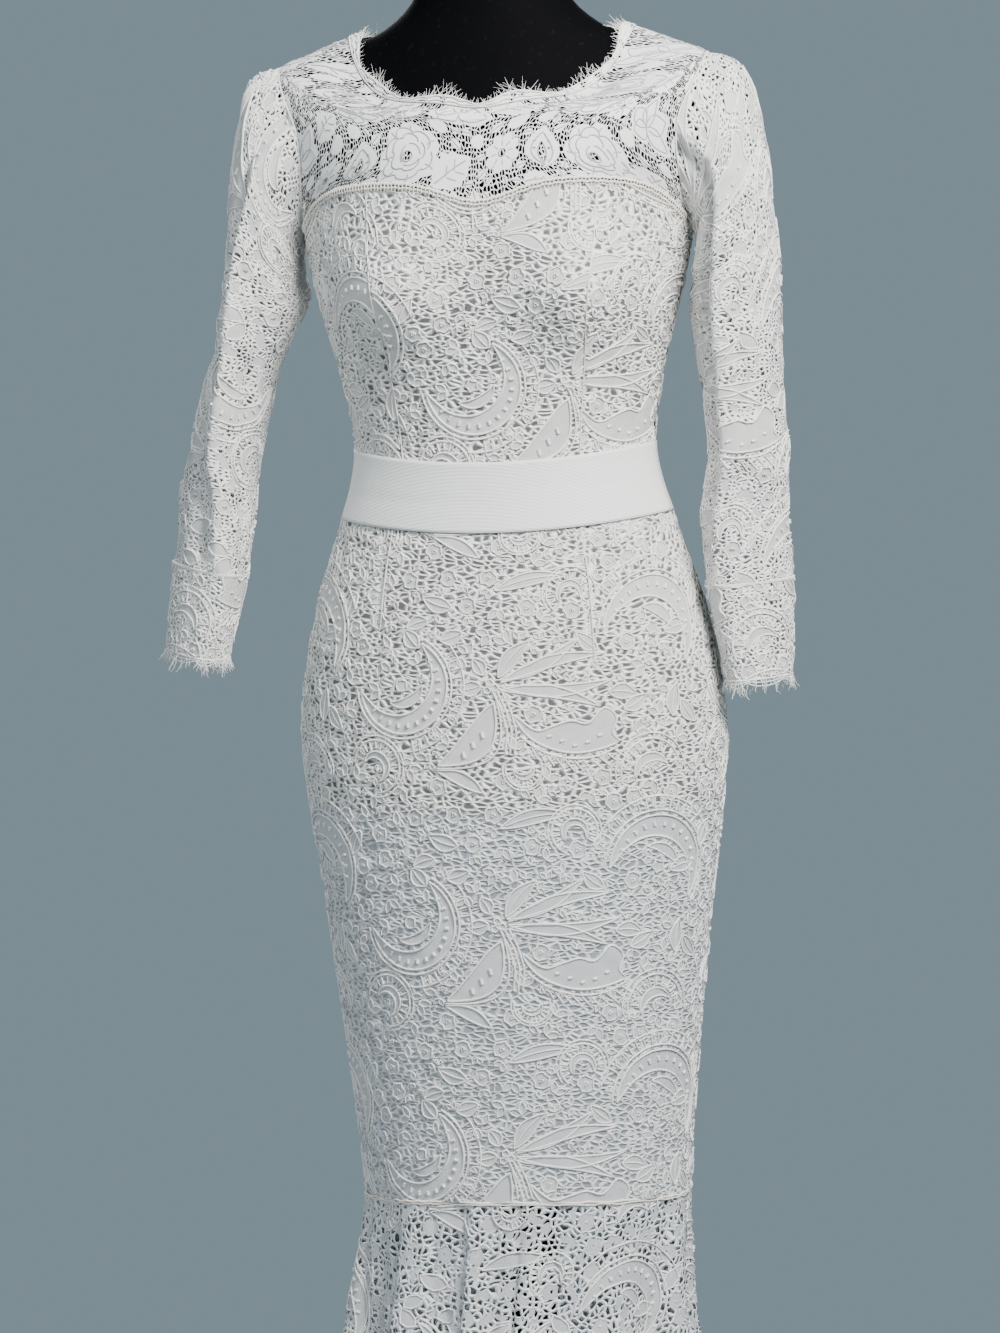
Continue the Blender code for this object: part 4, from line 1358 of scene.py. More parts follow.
class Paint:
    """A node tree under construction, with short ways to add its usual nodes."""

    def __init__(self, name: str) -> None:
        """Starts a material with its Principled shader.

        Args:
            name: The material's name.
        """
        self.material = bpy.data.materials.new(name)
        self.material.use_nodes = True
        self.tree = self.material.node_tree
        self.shader = self.tree.nodes["Principled BSDF"]

    def put(self, node: bpy.types.Node, name: object, value: object) -> None:
        """Sets or links one input of a node.

        Args:
            node: The node.
            name: The input's name or number.
            value: A number, a colour or a socket. None leaves the input as it is.
        """
        if isinstance(value, bpy.types.NodeSocket):
            self.tree.links.new(value, node.inputs[name])
        elif value is not None:
            node.inputs[name].default_value = value

    def node(self, kind: str, settings: dict[str, object], inputs: dict[object, object]) -> bpy.types.Node:
        """A new node.

        Args:
            kind: Its kind.
            settings: Its properties.
            inputs: Its inputs, by name or number.

        Returns:
            The node.
        """
        node = self.tree.nodes.new("ShaderNode" + kind)
        for name, value in settings.items():
            setattr(node, name, value)
        for name, value in inputs.items():
            self.put(node, name, value)
        return node

    def math(self, operation: str, *values: object) -> Socket:
        """One sum or comparison."""
        return self.node("Math", {"operation": operation}, dict(enumerate(values))).outputs[0]

    def step(self, value: Socket, low: float, high: float) -> Socket:
        """A smooth rise from 0 at low to 1 at high."""
        inputs = {"Value": value, "From Min": low, "From Max": high}
        return self.node("MapRange", {"interpolation_type": "SMOOTHSTEP"}, inputs).outputs["Result"]

    def mix(self, share: object, *colours: object) -> Socket:
        """A colour between two."""
        first, second = ((*value, 1.0) if isinstance(value, tuple) else value for value in colours)
        return self.node("Mix", {"data_type": "RGBA"}, {0: share, 6: first, 7: second}).outputs[2]

    def attribute(self, name: str) -> Socket:
        """A number stored on the mesh."""
        return self.node("Attribute", {"attribute_name": name}, {}).outputs["Fac"]

    def cloth_map(self, scale: Pair, turn: float = 0.0) -> Socket:
        """The cloth's flat coordinates, in cells of a size."""
        source = self.node("UVMap", {"uv_map": "cloth"}, {})
        return self.mapped(source.outputs["UV"], (1 / scale[0], 1 / scale[1], 1.0), turn)

    def place(self) -> Socket:
        """Object coordinates in metres."""
        return self.node("TexCoord", {}, {}).outputs["Object"]

    def mapped(self, vector: Socket, scale: Triple, turn: float = 0.0) -> Socket:
        """Coordinates scaled and turned by degrees."""
        inputs = {"Vector": vector, "Scale": scale, "Rotation": (0.0, 0.0, math.radians(turn))}
        return self.node("Mapping", {}, inputs).outputs["Vector"]

    def wobbled(self, vector: Socket, size: float, amount: float) -> Socket:
        """Coordinates pushed about by a soft noise, in their own units.

        Args:
            vector: The coordinates.
            size: The noise's size.
            amount: The farthest push.

        Returns:
            The result.
        """
        noise = self.node("TexNoise", {}, {"Vector": vector, "Scale": 1 / size, "Detail": 1.0})
        inputs = {0: noise.outputs["Color"], 1: (amount, amount, 0.0), 2: vector}
        return self.node("VectorMath", {"operation": "MULTIPLY_ADD"}, inputs).outputs["Vector"]

    def noise(self, vector: Socket, scale: float, detail: float = 2.0) -> Socket:
        """A soft random value."""
        inputs = {"Vector": vector, "Scale": scale, "Detail": detail}
        return self.node("TexNoise", {}, inputs).outputs["Fac"]

    def cells(self, vector: Socket, feature: str, randomness: float) -> Socket:
        """Distance in irregular flat cells one unit wide.

        Args:
            vector: The coordinates.
            feature: Which distance is measured.
            randomness: How uneven the cells are.

        Returns:
            The result.
        """
        settings = {"voronoi_dimensions": "2D", "feature": feature}
        inputs = {"Vector": vector, "Scale": 1.0, "Randomness": randomness}
        return self.node("TexVoronoi", settings, inputs).outputs["Distance"]

    def wave(self, vector: Socket, direction: str, scale: float) -> Socket:
        """Even bands."""
        inputs = {"Vector": vector, "Scale": scale}
        return self.node("TexWave", {"bands_direction": direction}, inputs).outputs["Fac"]

    def axis(self, vector: Socket, name: str) -> Socket:
        """One coordinate of a vector."""
        return self.node("SeparateXYZ", {}, {"Vector": vector}).outputs[name]

    def bump(self, height: Socket, distance: float, strength: float = 1.0) -> None:
        """Raises the surface by a height times a distance in metres."""
        node = self.node("Bump", {}, {"Height": height, "Distance": distance, "Strength": strength})
        self.put(self.shader, "Normal", node.outputs["Normal"])

    def surface(self, **inputs: object) -> None:
        """Sets inputs of the shader, named with underscores for spaces."""
        for name, value in inputs.items():
            self.put(self.shader, name.replace("_", " "), value)


class Ground(Enum):
    """What shows through the gaps of a lace. Over lining, the gaps stay opaque and are painted dark as
    shadow.
    """

    LINING = "lining close behind"
    OPEN = "nothing"


@dataclass(frozen=True)
class LaceFinish:
    """Corded lace: net of uneven threads about closely stitched motifs. Over lining, its holes are painted
    shadow.
    """

    name: str
    ground: Ground
    net: Pair = (0.0074, 0.0042)
    thread: float = 0.22
    uneven: float = 0.9
    white: Triple = (0.86, 0.85, 0.82)
    stitched: Triple = (0.63, 0.625, 0.61)
    # Painted shadow: the colour of the net's holes over lining, standing for the shaded lining deep in each
    # hole.
    gap: Triple = (0.085, 0.08, 0.076)
    # Height of the form's foot. Below it the lace gets painted backlight, and along it runs a painted
    # shadow line. 0 leaves both out.
    form_edge: float = 0.0
    close: float = 1.0
    relief: float = 0.0018

    def make(self) -> bpy.types.Material:
        """The material.

        Returns:
            The material.
        """
        paint = Paint(self.name)
        inside = paint.step(paint.attribute("solid"), -0.35, 0.45)
        drift = paint.noise(paint.cloth_map((0.022, 0.022)), 1.0, 2.0)
        flat = paint.wobbled(paint.cloth_map(self.net), 2.6, 1.7)
        edge = paint.cells(flat, "DISTANCE_TO_EDGE", self.uneven)
        narrow = self.thread * 0.10
        width = paint.math("MULTIPLY_ADD", drift, self.thread * 1.7, narrow)
        over = paint.math("SUBTRACT", edge, width)
        gap = paint.step(over, 0.0, 0.07)
        open_net = paint.math("MULTIPLY", gap, paint.math("SUBTRACT", 1.0, inside))
        rows = paint.wave(paint.wobbled(paint.cloth_map((0.01, 0.01), 24.0), 2.0, 0.5), "Y", 4.2)
        stitch = paint.math("MULTIPLY", rows, inside)
        fluff = paint.noise(paint.cloth_map((0.0011, 0.0011)), 1.0, 3.0)
        colour = paint.mix(paint.math("MULTIPLY", inside, 0.85), self.white, self.stitched)
        colour = paint.mix(paint.math("MULTIPLY", stitch, 0.18), colour, (0.60, 0.595, 0.58))
        colour = paint.mix(paint.math("MULTIPLY", fluff, 0.16), colour, (0.58, 0.57, 0.55))
        if self.ground is Ground.LINING:
            # Painted shadow in the holes over lining: darkest in their middles, with a lighter painted
            # shade at their rims.
            shade = paint.mix(paint.step(over, 0.02, 0.20), (0.30, 0.287, 0.275), self.gap)
            colour = paint.mix(open_net, colour, shade)
            # Painted backlight: below the form's foot, the light through lace and lining is painted as a
            # cooler, flatter colour with lit holes.
            if self.form_edge:
                height = paint.axis(paint.place(), "Z")
                waver = paint.math("MULTIPLY_ADD", drift, 0.010, height)
                below = paint.step(waver, self.form_edge + 0.005, self.form_edge - 0.001)
                # Painted shadow: a thin dark line along the form's foot edge behind the cloth.
                shadow_line_foot = paint.step(waver, self.form_edge - 0.003, self.form_edge + 0.001)
                shadow_line_top = paint.step(waver, self.form_edge + 0.009, self.form_edge + 0.001)
                rim = paint.math("MULTIPLY", shadow_line_foot, shadow_line_top)
                painted_backlight = paint.mix(open_net, (0.62, 0.635, 0.65), (0.30, 0.33, 0.36))
                painted_backlight = paint.mix(paint.math("MULTIPLY", inside, 0.5), painted_backlight, (0.52, 0.54, 0.56))
                colour = paint.mix(paint.math("MULTIPLY", below, 0.80), colour, painted_backlight)
                colour = paint.mix(paint.math("MULTIPLY", rim, 0.30), colour, (0.24, 0.25, 0.26))
        else:
            see_through = paint.math("MULTIPLY", open_net, self.close)
            paint.surface(Alpha=paint.math("SUBTRACT", 1.0, see_through))
        paint.surface(Base_Color=colour, Roughness=paint.math("MULTIPLY_ADD", fluff, 0.2, 0.62))
        paint.surface(Sheen_Weight=0.25, Sheen_Roughness=0.5)
        fuzz = paint.math("MULTIPLY", fluff, 0.3)
        mound = paint.math("MULTIPLY_ADD", paint.step(over, 0.16, -0.25), 0.9, fuzz)
        relief = paint.math("MULTIPLY_ADD", stitch, 0.16, paint.math("MULTIPLY", inside, 0.45))
        flat_share = paint.math("SUBTRACT", 1.0, inside)
        paint.bump(paint.math("MULTIPLY_ADD", mound, flat_share, relief), self.relief, 1.0)
        return paint.material


@dataclass(frozen=True)
class ThreadFinish:
    """White corded thread."""

    name: str = "corded_thread"
    white: Triple = (0.86, 0.85, 0.82)
    shade: Triple = (0.66, 0.65, 0.62)

    def make(self) -> bpy.types.Material:
        """The material.

        Returns:
            The material.
        """
        paint = Paint(self.name)
        place = paint.place()
        twist = paint.noise(place, 1400.0, 1.0)
        drift = paint.noise(place, 30.0, 2.0)
        colour = paint.mix(paint.math("MULTIPLY", twist, 0.5), self.white, self.shade)
        colour = paint.mix(paint.math("MULTIPLY", drift, 0.2), colour, self.shade)
        paint.surface(Base_Color=colour, Roughness=paint.math("MULTIPLY_ADD", twist, 0.25, 0.5))
        paint.surface(Sheen_Weight=0.3, Sheen_Roughness=0.4)
        paint.bump(twist, 0.0003, 0.8)
        return paint.material


@dataclass(frozen=True)
class SatinFinish:
    """Soft white lining with a fine diagonal weave."""

    name: str = "satin_lining"
    white: Triple = (0.80, 0.80, 0.80)

    def make(self) -> bpy.types.Material:
        """The material.

        Returns:
            The material.
        """
        paint = Paint(self.name)
        weave = paint.wave(paint.cloth_map((0.001, 0.001), 45.0), "X", 0.8)
        drift = paint.noise(paint.cloth_map((0.05, 0.05)), 1.0, 3.0)
        colour = paint.mix(paint.math("MULTIPLY", drift, 0.3), self.white, (0.66, 0.665, 0.68))
        paint.surface(Base_Color=colour, Roughness=paint.math("MULTIPLY_ADD", drift, 0.2, 0.35))
        paint.surface(Sheen_Weight=0.2, Sheen_Roughness=0.4)
        paint.bump(weave, 0.0001, 0.5)
        return paint.material


@dataclass(frozen=True)
class RibbonFinish:
    """White ribbon with fine ribs along it."""

    name: str = "ribbed_ribbon"
    white: Triple = (0.84, 0.835, 0.82)

    def make(self) -> bpy.types.Material:
        """The material.

        Returns:
            The material.
        """
        paint = Paint(self.name)
        ribs = paint.wave(paint.cloth_map((0.0011, 0.0011)), "Y", 0.32)
        slubs = paint.noise(paint.cloth_map((0.010, 0.0012)), 1.0, 2.0)
        drift = paint.noise(paint.cloth_map((0.06, 0.03)), 1.0, 2.0)
        colour = paint.mix(paint.math("MULTIPLY", ribs, 0.22), self.white, (0.66, 0.655, 0.65))
        colour = paint.mix(paint.math("MULTIPLY", drift, 0.12), colour, (0.70, 0.70, 0.70))
        paint.surface(Base_Color=colour, Roughness=paint.math("MULTIPLY_ADD", slubs, 0.15, 0.48))
        paint.surface(Sheen_Weight=0.15, Sheen_Roughness=0.4)
        paint.bump(paint.math("MULTIPLY_ADD", slubs, 0.5, ribs), 0.00025, 0.8)
        return paint.material


@dataclass(frozen=True)
class ShellFinish:
    """Glossy black shell or enamel, with faint dust and rubbing."""

    name: str
    black: Triple = (0.002, 0.002, 0.0025)
    dust: Triple = (0.010, 0.010, 0.011)
    gloss: float = 0.60
    grain: float = 220.0

    def make(self) -> bpy.types.Material:
        """The material.

        Returns:
            The material.
        """
        paint = Paint(self.name)
        place = paint.place()
        speck = paint.step(paint.noise(place, self.grain, 4.0), 0.60, 0.78)
        cloud = paint.noise(place, 7.0, 3.0)
        colour = paint.mix(paint.math("MULTIPLY", speck, cloud), self.black, self.dust)
        paint.surface(Base_Color=colour, Roughness=paint.math("MULTIPLY_ADD", cloud, 0.22, self.gloss))
        paint.surface(Specular_IOR_Level=0.02)
        paint.bump(paint.noise(place, 90.0, 2.0), 0.0002, 0.15)
        return paint.material


@dataclass(frozen=True)
class EnamelFinish:
    """White enamelled metal of the zip."""

    name: str = "white_enamel"
    white: Triple = (0.80, 0.80, 0.78)

    def make(self) -> bpy.types.Material:
        """The material.

        Returns:
            The material.
        """
        paint = Paint(self.name)
        place = paint.place()
        wear = paint.step(paint.noise(place, 900.0, 3.0), 0.62, 0.74)
        colour = paint.mix(paint.math("MULTIPLY", wear, 0.5), self.white, (0.45, 0.45, 0.45))
        paint.surface(Base_Color=colour, Roughness=paint.math("MULTIPLY_ADD", wear, 0.2, 0.3), Metallic=0.0)
        paint.bump(paint.noise(place, 500.0, 2.0), 0.0001, 0.3)
        return paint.material


class Wardrobe:
    """Every finish, made once and shared."""

    def __init__(self) -> None:
        """Makes the finishes."""
        self.skirt_lace = LaceFinish("skirt_lace", Ground.LINING, form_edge=0.797).make()
        self.bodice_lace = LaceFinish("bodice_lace", Ground.LINING).make()
        self.sheer_lace = LaceFinish("sheer_lace", Ground.OPEN, (0.0048, 0.0034), 0.31).make()
        # Painted shade and painted cool light: the flounce's white and stitched colours are a darker, bluer
        # copy of the lace's white.
        self.open_lace = LaceFinish(
            "open_lace", Ground.OPEN, (0.0056, 0.0054), 0.22, white=(0.74, 0.755, 0.77),
            stitched=(0.54, 0.555, 0.57),
        ).make()
        self.yoke_lace = LaceFinish(
            "yoke_lace", Ground.OPEN, (0.0028, 0.0046), 0.10, 0.6, (0.80, 0.80, 0.79),
            (0.86, 0.86, 0.84), relief=0.0006,
        ).make()
        self.thread = ThreadFinish().make()
        self.cream = ThreadFinish("seam_thread", (0.88, 0.835, 0.76), (0.70, 0.65, 0.58)).make()
        self.outline = ThreadFinish("outline_thread", (0.44, 0.44, 0.45), (0.30, 0.30, 0.31)).make()
        self.satin = SatinFinish().make()
        self.ribbon = RibbonFinish().make()
        self.shell = ShellFinish("form_shell").make()
        self.enamel = ShellFinish("stand_enamel", gloss=0.34, grain=420.0).make()
        self.zip = EnamelFinish().make()


# Pieces of the dress


@dataclass
class Dresser:
    """Takes finished pieces: gives them their finish, body and slot."""

    wardrobe: Wardrobe
    figure: Figure
    paisley: PaisleyLace
    roses: RoseLace

    def show(
        self, piece: bpy.types.Object, material: bpy.types.Material,
        nodes: Iterable[str] = (),
    ) -> None:
        """Finishes a piece and lets it stand for its solids.

        Args:
            piece: The piece.
            material: Its material.
            nodes: The solids that it replaces.
        """
        piece.data.materials.clear()
        piece.data.materials.append(material)
        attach(piece, BODY)
        if nodes:
            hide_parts(*nodes)
        LOG.info("%s: %d faces", piece.name, len(piece.data.polygons))

    def declare(
        self, cloth: Cloth, held: str = "stretched"
    ) -> None:
        """Works out the lesser of a piece's area and its width times its length, and keeps nothing.

        Args:
            cloth: The cloth it was made from.
            held: How it is held; not used.
        """
        min(cloth.area, cloth.width * cloth.length)


@dataclass(frozen=True)
class Side:
    """A panel's share of the way round: its word, its angles and where its flat zero lies."""

    word: str
    start: float
    end: float
    middle: float = 0.5

    def across(self, trim: float = 0.1) -> Pair:
        """Its first and last angle, each short of the seam by trim degrees."""
        return self.start + trim, self.end - trim


FRONT = Side("front", -90.0, 90.0)
BACK_LEFT = Side("back_left", -180.0, -90.0, 0.0)
BACK_RIGHT = Side("back_right", 90.0, 180.0, 1.0)
ALL_ROUND = (FRONT, BACK_LEFT, BACK_RIGHT)


@dataclass
class LacePanel:
    """One panel of lace, with its cords."""

    name: str
    nodes: tuple[str, ...]
    surface: Surface
    across: Pair
    up: Pair
    chart: LaceChart
    material: bpy.types.Material
    middle: float = 0.5
    corner: Pair = (0.0, 0.0)
    pitch: float = 0.0025
    cord_pitch: float = 3.8
    cord_lift: float = 0.0004
    least_cord: float = 0.1
    upright: bool = False
    cord_material: Optional[bpy.types.Material] = None
    creases: tuple[Crease, ...] = ()
    puffs: Pair = (0.0007, 0.0068)
    drape: float = 0.0
    drape_size: float = 0.045
    closed: bool = False
    held: str = "stretched"

    def build(self, dresser: Dresser, extras: Iterable[object] = ()) -> None:
        """Args:
            dresser: What finishes the pieces.
            extras: Pieces that go with the panel; not used.
        """
        grid = (self.across, self.up, self.pitch, self.middle, self.corner, self.upright)
        cloth = Cloth(self.surface, *grid)
        cloth.press(self.creases)
        cloth.pucker(*self.puffs, self.chart, self.closed)
        if self.drape:
            cloth.pucker(self.drape, self.drape_size, None, self.closed)
        piece = cloth.sheet(self.name, self.chart, self.closed)
        dresser.show(piece, self.material, self.nodes)
        threads = Threads(self.name + "_cords")
        lay_cords(threads, cloth, self.chart, self.cord_pitch, self.cord_lift, self.least_cord)
        cords = threads.mesh()
        if cords:
            dresser.show(cords, self.cord_material or dresser.wardrobe.thread)
        dresser.declare(cloth, self.held)


@dataclass
class Lining:
    """The satin close behind the lace of a fitted panel."""

    name: str
    node: str
    side: Side
    up: Pair
    pitch: float
    middle: float = 0.5
    trim: float = 0.1
    gap: float = 0.0014

    def build(self, dresser: Dresser) -> None:
        """Makes the lining.

        Args:
            dresser: What finishes the pieces.
        """
        cloth = Cloth(
            lambda angle, station: dresser.figure.point(angle, station, -self.gap),
            self.side.across(self.trim), self.up, self.pitch, self.middle,
        )
        piece = cloth.sheet(self.name)
        dresser.show(piece, dresser.wardrobe.satin, (self.node,))
        dresser.declare(cloth)


@dataclass(frozen=True)
class DartLine:
    """A dart's stitching: its angles at the belt and at its foot, and its length in rows of SECTIONS."""

    top: float
    foot: float
    length: float


@dataclass
class Skirt:
    """Fitted skirt: lining, and lace with two darts below the belt in front."""

    spray_height: float = 0.898
    seam_trim: float = 0.09
    lining_foot: float = 0.25
    back_shift: float = 0.07
    dart_lines: tuple[DartLine, ...] = (DartLine(-37.0, -34.5, 1.9), DartLine(32.0, 29.0, 2.6))
    darts: tuple[Crease, ...] = (
        Crease((-0.090, 0.135), (-0.095, 0.005), 0.0032, 0.0022),
        Crease((0.079, 0.135), (0.081, -0.020), 0.0032, 0.0022),
    )

    def build(self, dresser: Dresser) -> None:
        """Makes the skirt's lace and lining.

        Args:
            dresser: What finishes the pieces.
        """
        low = float(STATION["flounce seam"])
        high = float(STATION["waist seam"])
        start = float(dresser.figure.face(np.array(0.0), np.array(low))[2])
        for side in ALL_ROUND:
            ahead = side is FRONT
            LacePanel(
                name=f"skirt_lace_{side.word}_cloth", nodes=(f"skirt_lace_{side.word}",),
                surface=dresser.figure.face, across=side.across(self.seam_trim), up=(low, high),
                chart=dresser.paisley, material=dresser.wardrobe.skirt_lace, middle=side.middle,
                corner=(0.0 if ahead else self.back_shift, start - self.spray_height),
                creases=self.darts if ahead else (), cord_pitch=3.8 if ahead else 4.6,
                least_cord=0.1 if ahead else 0.52,
            ).build(dresser)
            name = f"skirt_lining_{side.word}"
            up = (low + self.lining_foot, high)
            Lining(name + "_cloth", name, side, up, 0.010, side.middle, self.seam_trim).build(dresser)
        self.stitch_darts(dresser)

    def stitch_darts(self, dresser: Dresser) -> None:
        """The two stitched dart lines below the belt.

        Args:
            dresser: What finishes the pieces.
        """
        threads = Threads("skirt_dart_stitching")
        share = np.linspace(0, 1, 40)
        for dart in self.dart_lines:
            angles = dart.top + (dart.foot - dart.top) * share
            stations = STATION["belt foot"] - dart.length * share
            threads.add(dresser.figure.point(angles, stations, 0.0003), 0.80, 0.5)
        dresser.show(threads.mesh(), dresser.wardrobe.cream)


@dataclass(frozen=True)
class BodicePanel:
    """A lace panel of the bodice and how far its repeat is shifted sideways."""

    side: Side
    shift: float


@dataclass
class Bodice:
    """Lined bodice up to the sweetheart edge, with its princess seams and corded edge."""

    princess: float = 36.0
    seam_trim: float = 0.09
    repeat_foot: float = -0.087

    def build(self, dresser: Dresser) -> None:
        """Makes the bodice's lace, lining and binding.

        Args:
            dresser: What finishes the pieces.
        """
        low = float(STATION["waist seam"])
        high = float(STATION["sweetheart"])
        for panel in (
            BodicePanel(Side("front_centre", -self.princess, self.princess), -0.063),
            BodicePanel(Side("side_front_left", -90.0, -self.princess, 1.0), -0.150),
            BodicePanel(Side("side_front_right", self.princess, 90.0, 0.0), 0.020),
            BodicePanel(BACK_LEFT, 0.05), BodicePanel(BACK_RIGHT, 0.05),
        ):
            side = panel.side
            behind = side in (BACK_LEFT, BACK_RIGHT)
            LacePanel(
                name=f"bodice_lace_{side.word}_cloth", nodes=(f"bodice_lace_{side.word}",),
                surface=dresser.figure.face, across=side.across(self.seam_trim), up=(low, high),
                chart=dresser.paisley, material=dresser.wardrobe.bodice_lace, middle=side.middle,
                corner=(panel.shift, self.repeat_foot), cord_pitch=4.6 if behind else 3.6,
                least_cord=0.52 if behind else 0.1,
            ).build(dresser)
        for side in ALL_ROUND:
            name = f"bodice_lining_{side.word}"
            Lining(name + "_cloth", name, side, (low, high), 0.008).build(dresser)
        self.bind(dresser)

    def bind(self, dresser: Dresser) -> None:
        """The corded sweetheart edge: two laid cords, whipped together by small stitches.

        Args:
            dresser: What finishes the pieces.
        """
        seam = float(STATION["sweetheart"])
        waist = float(STATION["waist seam"])
        figure = dresser.figure
        lean = np.linspace(-0.10, 0.12, 4)
        bow = (0.0010, 0.0024, 0.0024, 0.0010)
        for edge in (
            Side("front", -76.5, 76.5), Side("back_left", -179.7, -103.5),
            Side("back_right", 103.5, 179.7),
        ):
            angles = np.linspace(edge.start, edge.end, int((edge.end - edge.start) * 2.4))
            threads = Threads(f"binding_{edge.word}_cords")
            waver = 0.010 * np.sin(angles * 1.7)
            threads.add(figure.point(angles, seam + 0.060 + waver, 0.0012), 1.15)
            threads.add(figure.point(angles, seam - 0.040 + waver, 0.0012), 1.0)
            for angle in np.arange(edge.start + 0.3, edge.end - 0.3, 1.2):
                spots = [
                    figure.point(np.array(angle + share * 4), np.array(seam + share), out)
                    for share, out in zip(lean, bow)
                ]
                threads.add(np.array(spots), 0.42)
            if edge.word == "front":
                down = np.linspace(seam - 0.1, seam - 0.62, 16)
                threads.add(figure.point(np.full(16, -1.5), down, 0.0005), 0.8)
                rise = np.linspace(waist, seam - 0.1, 70)
                for angle in (-self.princess, self.princess):
                    threads.add(figure.point(np.full(70, angle), rise, 0.0003), 0.6)
            dresser.show(threads.mesh(), dresser.wardrobe.cream, (f"binding_{edge.word}",))


@dataclass
class Yoke:
    """Sheer floral yoke with its scalloped, fraying neckline."""

    border: float = 0.0035
    border_gap: float = 0.0003
    scallop: float = 0.0065
    scallop_angle: float = 16.0
    lash_gap: float = 0.0014
    rim_gap: float = 0.0016

    def build(self, dresser: Dresser) -> None:
        """Makes the yoke and its border.

        Args:
            dresser: What finishes the pieces.
        """
        low = STATION["sweetheart"] + 0.01
        high = float(STATION["neckline"])
        for side in ALL_ROUND:
            LacePanel(
                name=f"yoke_{side.word}_cloth", nodes=(f"yoke_{side.word}",),
                surface=dresser.figure.sheer, across=side.across(), up=(low, high),
                chart=dresser.roses, material=dresser.wardrobe.yoke_lace, middle=side.middle,
                corner=(0.062, -0.030), upright=True, pitch=0.0014 if side is FRONT else 0.0021,
                cord_pitch=2.8, cord_lift=0.0001, puffs=(0.00015, 0.009),
                cord_material=dresser.wardrobe.outline,
            ).build(dresser, self.edge(dresser, side))

    def foot(self, figure: Figure, angle: Array) -> tuple[Array, Array, Array]:
        """The neckline's points, the way up the cloth there, and the way out.

        Args:
            figure: The figure.
            angle: Degrees about the body, 0 in front.

        Returns:
            The points and the two directions.
        """
        seam = np.full(np.shape(angle), float(STATION["neckline"]))
        here = figure.face(angle, seam)
        upward = unit(figure.face(angle, seam + 0.1) - here)
        outward = unit(figure.point(angle, seam, 0.01) - here)
        return here, upward, outward

    def height(self, angle: Array) -> Array:
        """Height of the scalloped border at an angle.

        Args:
            angle: Degrees about the body, 0 in front.

        Returns:
            The heights, in metres.
        """
        wave = np.abs(np.sin(np.radians(angle) * 90 / self.scallop_angle)) ** 1.4
        uneven_share = 0.75 + 0.25 * np.sin(np.radians(angle) * 4.7 + 1.0)
        return self.border + self.scallop * wave * uneven_share

    def edge(self, dresser: Dresser, side: Side) -> tuple[bpy.types.Object, ...]:
        """The border and its edge cord with the lashes.

        Args:
            dresser: What finishes the pieces.
            side: The part of the way round.

        Returns:
            The pieces that go with the yoke.
        """
        figure = dresser.figure
        first, last = side.across()

        def surface(angle: Array, share: Array) -> Array:
            """Points of the border, from its foot (0) to its scalloped top (1).

            Args:
                angle: Degrees about the body, 0 in front.
                share: Shares of the height.

            Returns:
                The points.
            """
            angle, share = np.broadcast_arrays(angle, share)
            here, upward, _ = self.foot(figure, angle)
            return here + upward * (self.border_gap + share * self.height(angle))[..., None]

        cloth = Cloth(surface, (first, last), (0.0, 1.0), 0.0013, 0.5)
        piece = cloth.sheet(f"neckline_border_{side.word}_cloth", dresser.roses)
        dresser.show(piece, dresser.wardrobe.yoke_lace, (f"neckline_border_{side.word}",))
        threads = Threads(f"neckline_{side.word}_lashes")
        angles = np.linspace(first, last, int(cloth.width / self.rim_gap))
        here, upward, outward = self.foot(figure, angles)
        rim = here + upward * self.height(angles)[:, None]
        threads.add(rim, 0.75)
        threads.add(here + upward * 0.0012 + outward * 0.0004, 0.6)
        for share, wave in ((0.35, 0.0012), (0.75, 0.0016)):
            loops = wave * np.abs(np.sin(np.radians(angles) * 26 + share * 9))
            rise = share * self.height(angles) + loops
            threads.add(here + upward * rise[:, None] + outward * 0.0006, 0.55)
        random = np.random.default_rng(len(side.word))
        for angle in np.linspace(first + 0.3, last - 0.3, int(cloth.width / self.lash_gap)):
            spot, up_it, out_it = self.foot(figure, np.array(angle))
            root = spot + up_it * float(self.height(np.array(angle)))
            tuft = 1.0 + 1.5 * abs(math.sin(math.radians(angle) * 90 / self.scallop_angle)) ** 6
            length = random.uniform(0.0022, 0.0052) * tuft
            sideways = np.cross(up_it, out_it) * random.normal(0, 0.8)
            along = np.linspace(0, 1, 4)[:, None]
            curl = out_it * random.uniform(-0.1, 0.5)
            sway = (sideways * along + curl * along**2) * length * 0.9
            threads.add(root + up_it * length * along + sway, random.uniform(0.16, 0.30), 0.4)
        lashes = threads.mesh()
        dresser.show(lashes, dresser.wardrobe.thread)
        return piece, lashes


